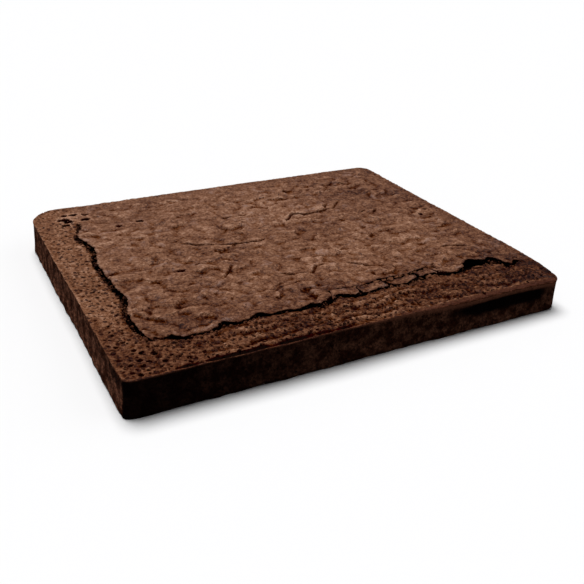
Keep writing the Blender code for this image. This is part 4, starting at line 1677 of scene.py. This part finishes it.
def wall_finish():
    material, tree, shader, place = start_material("tin side", 0.03, 0.85)
    x, y = axes_of(tree, place)
    grain = use_group(tree, GRAIN, Place=place, Grains_per_Metre=640.0)
    mottle = noise_at(tree, place, 8.0, detail=5.0, roughness=0.7)
    bubbles = use_group(tree, BUBBLES, Place=place, Bubbles_per_Metre=420.0, Widest=0.5)["Hole"]
    below = mask_of(tree, "wall")
    front = stretch(tree, y, *FRONT_WALL_Y, 1.0, 0.0)
    # A painted highlight on the front wall's lip, and a band of painted shade under the left wall's lip near
    # the front.
    lit_lip = stretch(tree, below, 0.02, stretch(tree, x, *LIT_LIP_FOOT), 1.0, 0.0)
    lit_lip = times(tree, lit_lip, front, stretch(tree, x, *LIT_LIP_X, 0.25, 0.9))
    under_lip = times(
        tree, range_mask(tree, below, *UNDER_LIP_SHARES), stretch(tree, y, -0.126, -0.075, 0.9, 0.0),
        stretch(tree, noise_at(tree, place, 14.0), 0.38, 0.55), stretch(tree, y, -0.1265, -0.1245),
    )
    colour = mix_colours(tree, stretch(tree, mottle, 0.40, 0.66), WALL_DARK, WALL_LIGHT)
    speckle = stretch(tree, grain["Speckle"], 0.0, 1.0, 0.45, 1.3)
    colour = mix_colours(tree, 1.0, colour, speckle, "MULTIPLY")
    # The front wall, the hollow under the front lip and the band under the left lip take painted shade in
    # near black.
    for share, over in (
        (times(tree, bubbles, 0.4), SHADED_CRUMB_RED),
        (times(tree, front, stretch(tree, x, -0.15, 0.03, 0.95, 0.36)), PAINTED_SHADE_BLACK),
        (stretch(tree, mask_of(tree, "cut"), 0.05, 0.6), PAINTED_SHADE_BLACK),
        (lit_lip, LIP_LIT),
        (under_lip, PAINTED_SHADE_BLACK),
    ):
        colour = mix_colours(tree, share, colour, over)
    feed(tree, shader.inputs["Base Color"], colour)
    pits = add_bump(tree, shader, noise_at(tree, place, 2.4, detail=3.0, roughness=0.6), 1.1)
    grainy = add_bump(tree, shader, grain["Height"], 0.8, pits)
    add_bump(tree, shader, bubbles, -0.8, grainy)
    return material


WALL = wall_finish()
print("finish:", WALL.name, "with", len(WALL.node_tree.nodes), "nodes")

# %% [markdown]
# Loose crumbs are moist and dark, and flakes of crust are paler. Both need only the shared tones and
# grain around one middle tone, because they are too small to show more.

# %% Finish of the loose bits
CRUMB_TONE = 0.23
FLAKE_TONE = 0.42


def loose_finish(name, middle):
    material, tree, shader, place = start_material(name, 0.15, 0.7)
    grain = use_group(tree, GRAIN, Place=place, Grains_per_Metre=GRAINS)
    tone = sum_of(tree, (noise_at(tree, place, 3.0), 0.5, 0.8), (grain["Speckle"], 0.5, 0.3))
    tone = calculate(tree, "ADD", tone, middle)
    feed(tree, shader.inputs["Base Color"], use_group(tree, TONES, Tone=tone)["Colour"])
    add_bump(tree, shader, grain["Height"], 0.8)
    return material


CRUMB, FLAKE_CRUST = loose_finish("soft crumb", CRUMB_TONE), loose_finish("flake crust", FLAKE_TONE)
for piece in (body, plate, strip):
    piece.data.materials.append(CRUST)
    piece.data.materials.append(WALL)
print("finishes:", [m.name for m in (CRUST, WALL, CRUMB, FLAKE_CRUST)])

# %% [markdown]
# Crumbs and flakes are the same small shape many times over, so Geometry Nodes make both. The two
# trees share their ends: copies of a shape on points, each with its own size and turn, one noise
# that roughens them all, and the finish. The instances are realized, so the pieces are plain mesh.

# %% Helpers for Geometry Nodes


def new_geometry_tree(name, inputs):
    tree = bpy.data.node_groups.new(name, "GeometryNodeTree")
    tree.interface.new_socket("Geometry", in_out="INPUT", socket_type="NodeSocketGeometry")
    tree.interface.new_socket("Geometry", in_out="OUTPUT", socket_type="NodeSocketGeometry")
    for socket, kind in inputs.items():
        tree.interface.new_socket(socket, in_out="INPUT", socket_type="NodeSocket" + kind)
    return tree, add(tree, "NodeGroupInput"), add(tree, "NodeGroupOutput")


def random_value(tree, data_type, low, high, seed):
    """A random value for each instance; the outputs and inputs of the node differ by type."""
    node = add(tree, "FunctionNodeRandomValue", data_type=data_type)
    feed(tree, [s for s in node.inputs if s.name == "Min" and s.enabled][0], low)
    feed(tree, [s for s in node.inputs if s.name == "Max" and s.enabled][0], high)
    feed(tree, node.inputs["Seed"], seed)
    return [s for s in node.outputs if s.enabled][0]


def roughened(tree, geometry, amount, size_mm):
    """Moves every point along its normal by a noise."""
    texture = add(tree, "ShaderNodeTexNoise")
    texture.inputs["Scale"].default_value = 1 / (size_mm * MM)
    tree.links.new(add(tree, "GeometryNodeInputPosition").outputs[0], texture.inputs["Vector"])
    centred = calculate(tree, "SUBTRACT", texture.outputs["Fac"], 0.5)
    push = add(tree, "ShaderNodeVectorMath", operation="SCALE")
    tree.links.new(add(tree, "GeometryNodeInputNormal").outputs[0], push.inputs[0])
    feed(tree, push.inputs["Scale"], calculate(tree, "MULTIPLY", centred, amount))
    mover = add(tree, "GeometryNodeSetPosition")
    tree.links.new(geometry, mover.inputs["Geometry"])
    tree.links.new(push.outputs[0], mover.inputs["Offset"])
    return mover.outputs[0]


def scattered_copies(tree, given, points, shape_node, least_turn, most_turn, roughness, size_mm):
    """Copies of a shape on points, realized, roughened and finished."""
    seed = given.outputs["Seed"]
    copies = add(tree, "GeometryNodeInstanceOnPoints")
    tree.links.new(points, copies.inputs["Points"])
    tree.links.new(shape_node.outputs["Mesh"], copies.inputs["Instance"])
    turn = random_value(tree, "FLOAT_VECTOR", least_turn, most_turn, seed)
    tree.links.new(turn, copies.inputs["Rotation"])
    size = random_value(tree, "FLOAT", given.outputs["Least Scale"], given.outputs["Most Scale"], seed)
    tree.links.new(size, copies.inputs["Scale"])
    real = add(tree, "GeometryNodeRealizeInstances")
    tree.links.new(copies.outputs[0], real.inputs[0])
    painted = add(tree, "GeometryNodeSetMaterial")
    tree.links.new(roughened(tree, real.outputs[0], roughness, size_mm), painted.inputs["Geometry"])
    tree.links.new(given.outputs["Finish"], painted.inputs["Material"])
    return painted.outputs[0]


def grow(name, mesh, tree, **values):
    """A new object: what the geometry tree makes of the mesh, as plain mesh."""
    made = bpy.data.objects.new(name, mesh)
    bpy.context.scene.collection.objects.link(made)
    modifier = made.modifiers.new(tree.name, "NODES")
    modifier.node_group = tree
    for item in tree.interface.items_tree:
        key = item.name.replace(" ", "_")
        if item.in_out == "INPUT" and key in values:
            modifier[item.identifier] = values[key]
    baked_mesh(made)
    print(name, "triangles:", triangle_count(made))
    return made


print("helpers for Geometry Nodes are ready")

# %% [markdown]
# Loose crumbs lie in the cracks, under the broken strip and on the front band. A mask on the body
# says how thickly, from 0 to 1. Painting it by hand would do, but a rule follows the cracks exactly.

# %% Where crumbs lie
BESIDE_CRACK = 0.8
CRUMB_POCKETS = ((137, -94, 40, 14), (119, -86, 30, 20))
CLEAR_HOLLOW = (106, 11)
BAND_SHARE = 0.10
BAND_MARGIN = (14, 5)
PATCH_SPACING = 7.0
CRUMBS_ABOVE = RIM_HEIGHT - 9


def looseness(x, y, z):
    """How thickly crumbs lie at each point of the body, from 0 to 1."""
    left, left_width = across_left(x, y)
    front, front_width = across_front(x, y)
    upper, _ = across_upper(x, y)
    in_left = (left_width > 0) & (np.abs(left) < left_width / 2 + BESIDE_CRACK)
    in_front = (front_width > 0) & (np.abs(front) < front_width / 2 + BESIDE_CRACK)
    in_strip = (x > STRIP_X[0]) & (x < STRIP_X[1] + 4) & (front > -2) & (upper < 2)
    patchy = smooth_step(noise_field(as_flat(x, y), PATCH_SPACING, "lump"), -0.35, 0.25)
    in_crack = np.where(in_left | in_front, 0.08 + 0.55 * patchy, np.where(in_strip, 0.22 * patchy, 0.0))
    in_crack *= 1 - 0.95 * bump(x, *CLEAR_HOLLOW)
    pocket = np.zeros(len(x))
    for pocket_x, pocket_y, wide, deep in CRUMB_POCKETS:
        pocket = np.maximum(pocket, np.exp(-((x - pocket_x) ** 2 / wide + (y - pocket_y) ** 2 / deep)))
    pocket = np.where(pocket > 0.15, 0.5 * pocket, 0.0)
    off_edge = (LENGTH / 2 - np.abs(x) > BAND_MARGIN[0]) * (DEPTH / 2 - np.abs(y) > BAND_MARGIN[1])
    band = BAND_SHARE * (1 - smooth_step(y, *FOLD_BAND)) * off_edge
    return np.maximum(in_crack, np.maximum(pocket, band * patchy)) * (z > CRUMBS_ABOVE)


def mesh_with_looseness():
    """A copy of the body's mesh that carries the mask."""
    mesh = body.data.copy()
    places = np.empty(len(mesh.vertices) * 3, np.float32)
    mesh.vertices.foreach_get("co", places)
    places = (places.reshape(-1, 3).astype(float) - np.array(centring)) / MM
    share = looseness(*places.T)
    mesh.attributes.new("loose", "FLOAT", "POINT").data.foreach_set("value", share.astype(np.float32))
    print("points where crumbs can lie:", int((share > 0).sum()))
    return mesh


crumb_ground = mesh_with_looseness()

# %% [markdown]
# The tree scatters points over the body by that mask, no two closer than half a millimetre, and puts
# a small ball on each. One noise then makes every ball an uneven crumb.

# %% Geometry Nodes: crumbs
CRUMB_SIZE = (0.45, 1.15)
CRUMBS_PER_M2 = 900000.0
CRUMB_GAP = 0.55 * MM
CRUMB_SIDES = (7, 5)
CRUMB_ROUGHNESS = (0.9 * MM, 1.1)
CRUMB_SEED = 5


def crumb_tree():
    tree, given, result = new_geometry_tree(
        "scattered crumbs",
        {"Crumbs per m2": "Float", "Least Scale": "Float", "Most Scale": "Float", "Roughness": "Float",
         "Seed": "Int", "Finish": "Material"},
    )
    scatter = add(tree, "GeometryNodeDistributePointsOnFaces", distribute_method="POISSON")
    tree.links.new(given.outputs["Geometry"], scatter.inputs["Mesh"])
    loose = add(tree, "GeometryNodeInputNamedAttribute", data_type="FLOAT")
    loose.inputs["Name"].default_value = "loose"
    tree.links.new(loose.outputs["Attribute"], scatter.inputs["Density Factor"])
    tree.links.new(given.outputs["Crumbs per m2"], scatter.inputs["Density Max"])
    scatter.inputs["Distance Min"].default_value = CRUMB_GAP
    tree.links.new(given.outputs["Seed"], scatter.inputs["Seed"])
    ball = add(tree, "GeometryNodeMeshUVSphere")
    ball.inputs["Segments"].default_value, ball.inputs["Rings"].default_value = CRUMB_SIDES
    ball.inputs["Radius"].default_value = MM
    crumbs_made = scattered_copies(
        tree, given, scatter.outputs["Points"], ball, (0, 0, 0), (math.tau, math.tau, math.tau),
        given.outputs["Roughness"], CRUMB_ROUGHNESS[1],
    )
    tree.links.new(crumbs_made, result.inputs[0])
    return tree


crumbs = grow(
    "crack_crumbs", crumb_ground, crumb_tree(), Crumbs_per_m2=CRUMBS_PER_M2, Least_Scale=CRUMB_SIZE[0],
    Most_Scale=CRUMB_SIZE[1], Roughness=CRUMB_ROUGHNESS[0], Seed=CRUMB_SEED, Finish=CRUMB,
)

# %% [markdown]
# Flakes of the broken crust lie along the front cracks. A second tree follows a route: the route
# becomes a curve, the curve a row of points, each point jumps aside a little, and each carries a
# thin flake that leans its own way.

# %% Geometry Nodes: flakes
FLAKE_ROUTES = (FRONT_CRACK[19:24], UPPER_CRACK[1:], ((117, -90), (121, -90), (126, -92)))
FLAKE_STEP_MM = 2.6
FLAKE_RADIUS = (0.9, 2.3)
FLAKE_THICKNESS = 0.45 * MM
FLAKE_SIDES = 7
FLAKE_SPREAD = 1.8 * MM
FLAKE_RISE = 0.3
FLAKE_TURN = 0.5
FLAKE_ROUGHNESS = (1.4 * MM, 1.6)
FLAKE_SINK = 1.3
FLAKE_SEED = 8


def spread_by(tree, spread, sign):
    """The farthest jump to one side, which is flatter than it is wide."""
    reach = add(tree, "ShaderNodeCombineXYZ")
    for socket, share in zip(reach.inputs, (1.0, 1.0, FLAKE_RISE)):
        feed(tree, socket, times(tree, spread, sign * share))
    return reach.outputs[0]


def flake_tree():
    tree, given, result = new_geometry_tree(
        "flakes on a route",
        {"Spacing": "Float", "Least Scale": "Float", "Most Scale": "Float", "Spread": "Float",
         "Seed": "Int", "Finish": "Material"},
    )
    curve = add(tree, "GeometryNodeMeshToCurve")
    tree.links.new(given.outputs["Geometry"], curve.inputs["Mesh"])
    row = add(tree, "GeometryNodeCurveToPoints", mode="LENGTH")
    tree.links.new(curve.outputs[0], row.inputs["Curve"])
    tree.links.new(given.outputs["Spacing"], row.inputs["Length"])
    flake = add(tree, "GeometryNodeMeshCylinder")
    flake.inputs["Vertices"].default_value = FLAKE_SIDES
    flake.inputs["Radius"].default_value = MM
    flake.inputs["Depth"].default_value = FLAKE_THICKNESS
    least, most = [spread_by(tree, given.outputs["Spread"], sign) for sign in (-1.0, 1.0)]
    jump = random_value(tree, "FLOAT_VECTOR", least, most, given.outputs["Seed"])
    place = add(tree, "GeometryNodeSetPosition")
    tree.links.new(row.outputs["Points"], place.inputs["Geometry"])
    tree.links.new(jump, place.inputs["Offset"])
    flakes_made = scattered_copies(
        tree, given, place.outputs[0], flake, (-FLAKE_TURN, -FLAKE_TURN, 0),
        (FLAKE_TURN, FLAKE_TURN, math.tau), *FLAKE_ROUGHNESS,
    )
    tree.links.new(flakes_made, result.inputs[0])
    return tree


def route_mesh(routes, sink):
    """The routes as lines of edges, a little below the baked surface."""
    mesh = bpy.data.meshes.new("routes")
    points, edges = [], []
    for route in routes:
        x, y = np.array([p[0] for p in route], float), np.array([p[1] for p in route], float)
        z = baked_height(x, y, inset_from_edges(x, y), as_flat(x, y)) - sink
        edges += [(len(points) + i, len(points) + i + 1) for i in range(len(x) - 1)]
        points += np.column_stack([x, y, z]).tolist()
    mesh.from_pydata([(Vector(p) * MM + centring) for p in points], edges, [])
    return mesh


flakes = grow(
    "crust_flakes", route_mesh(FLAKE_ROUTES, FLAKE_SINK), flake_tree(), Spacing=FLAKE_STEP_MM * MM,
    Least_Scale=FLAKE_RADIUS[0], Most_Scale=FLAKE_RADIUS[1], Spread=FLAKE_SPREAD, Seed=FLAKE_SEED,
    Finish=FLAKE_CRUST,
)

# %% [markdown]
# Last, the pieces are tied to the fixed frame: each rides on the one body and stands for the packed solid.

# %% Hand over
for piece in (body, plate, strip, crumbs, flakes):
    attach(piece, "root")
    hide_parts("brownie_slab")

low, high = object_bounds()
past_low, past_high = cad_low - low, high - cad_high
print("visual box past the CAD box in mm:", [round(v / MM, 2) for v in (*past_low, *past_high)])
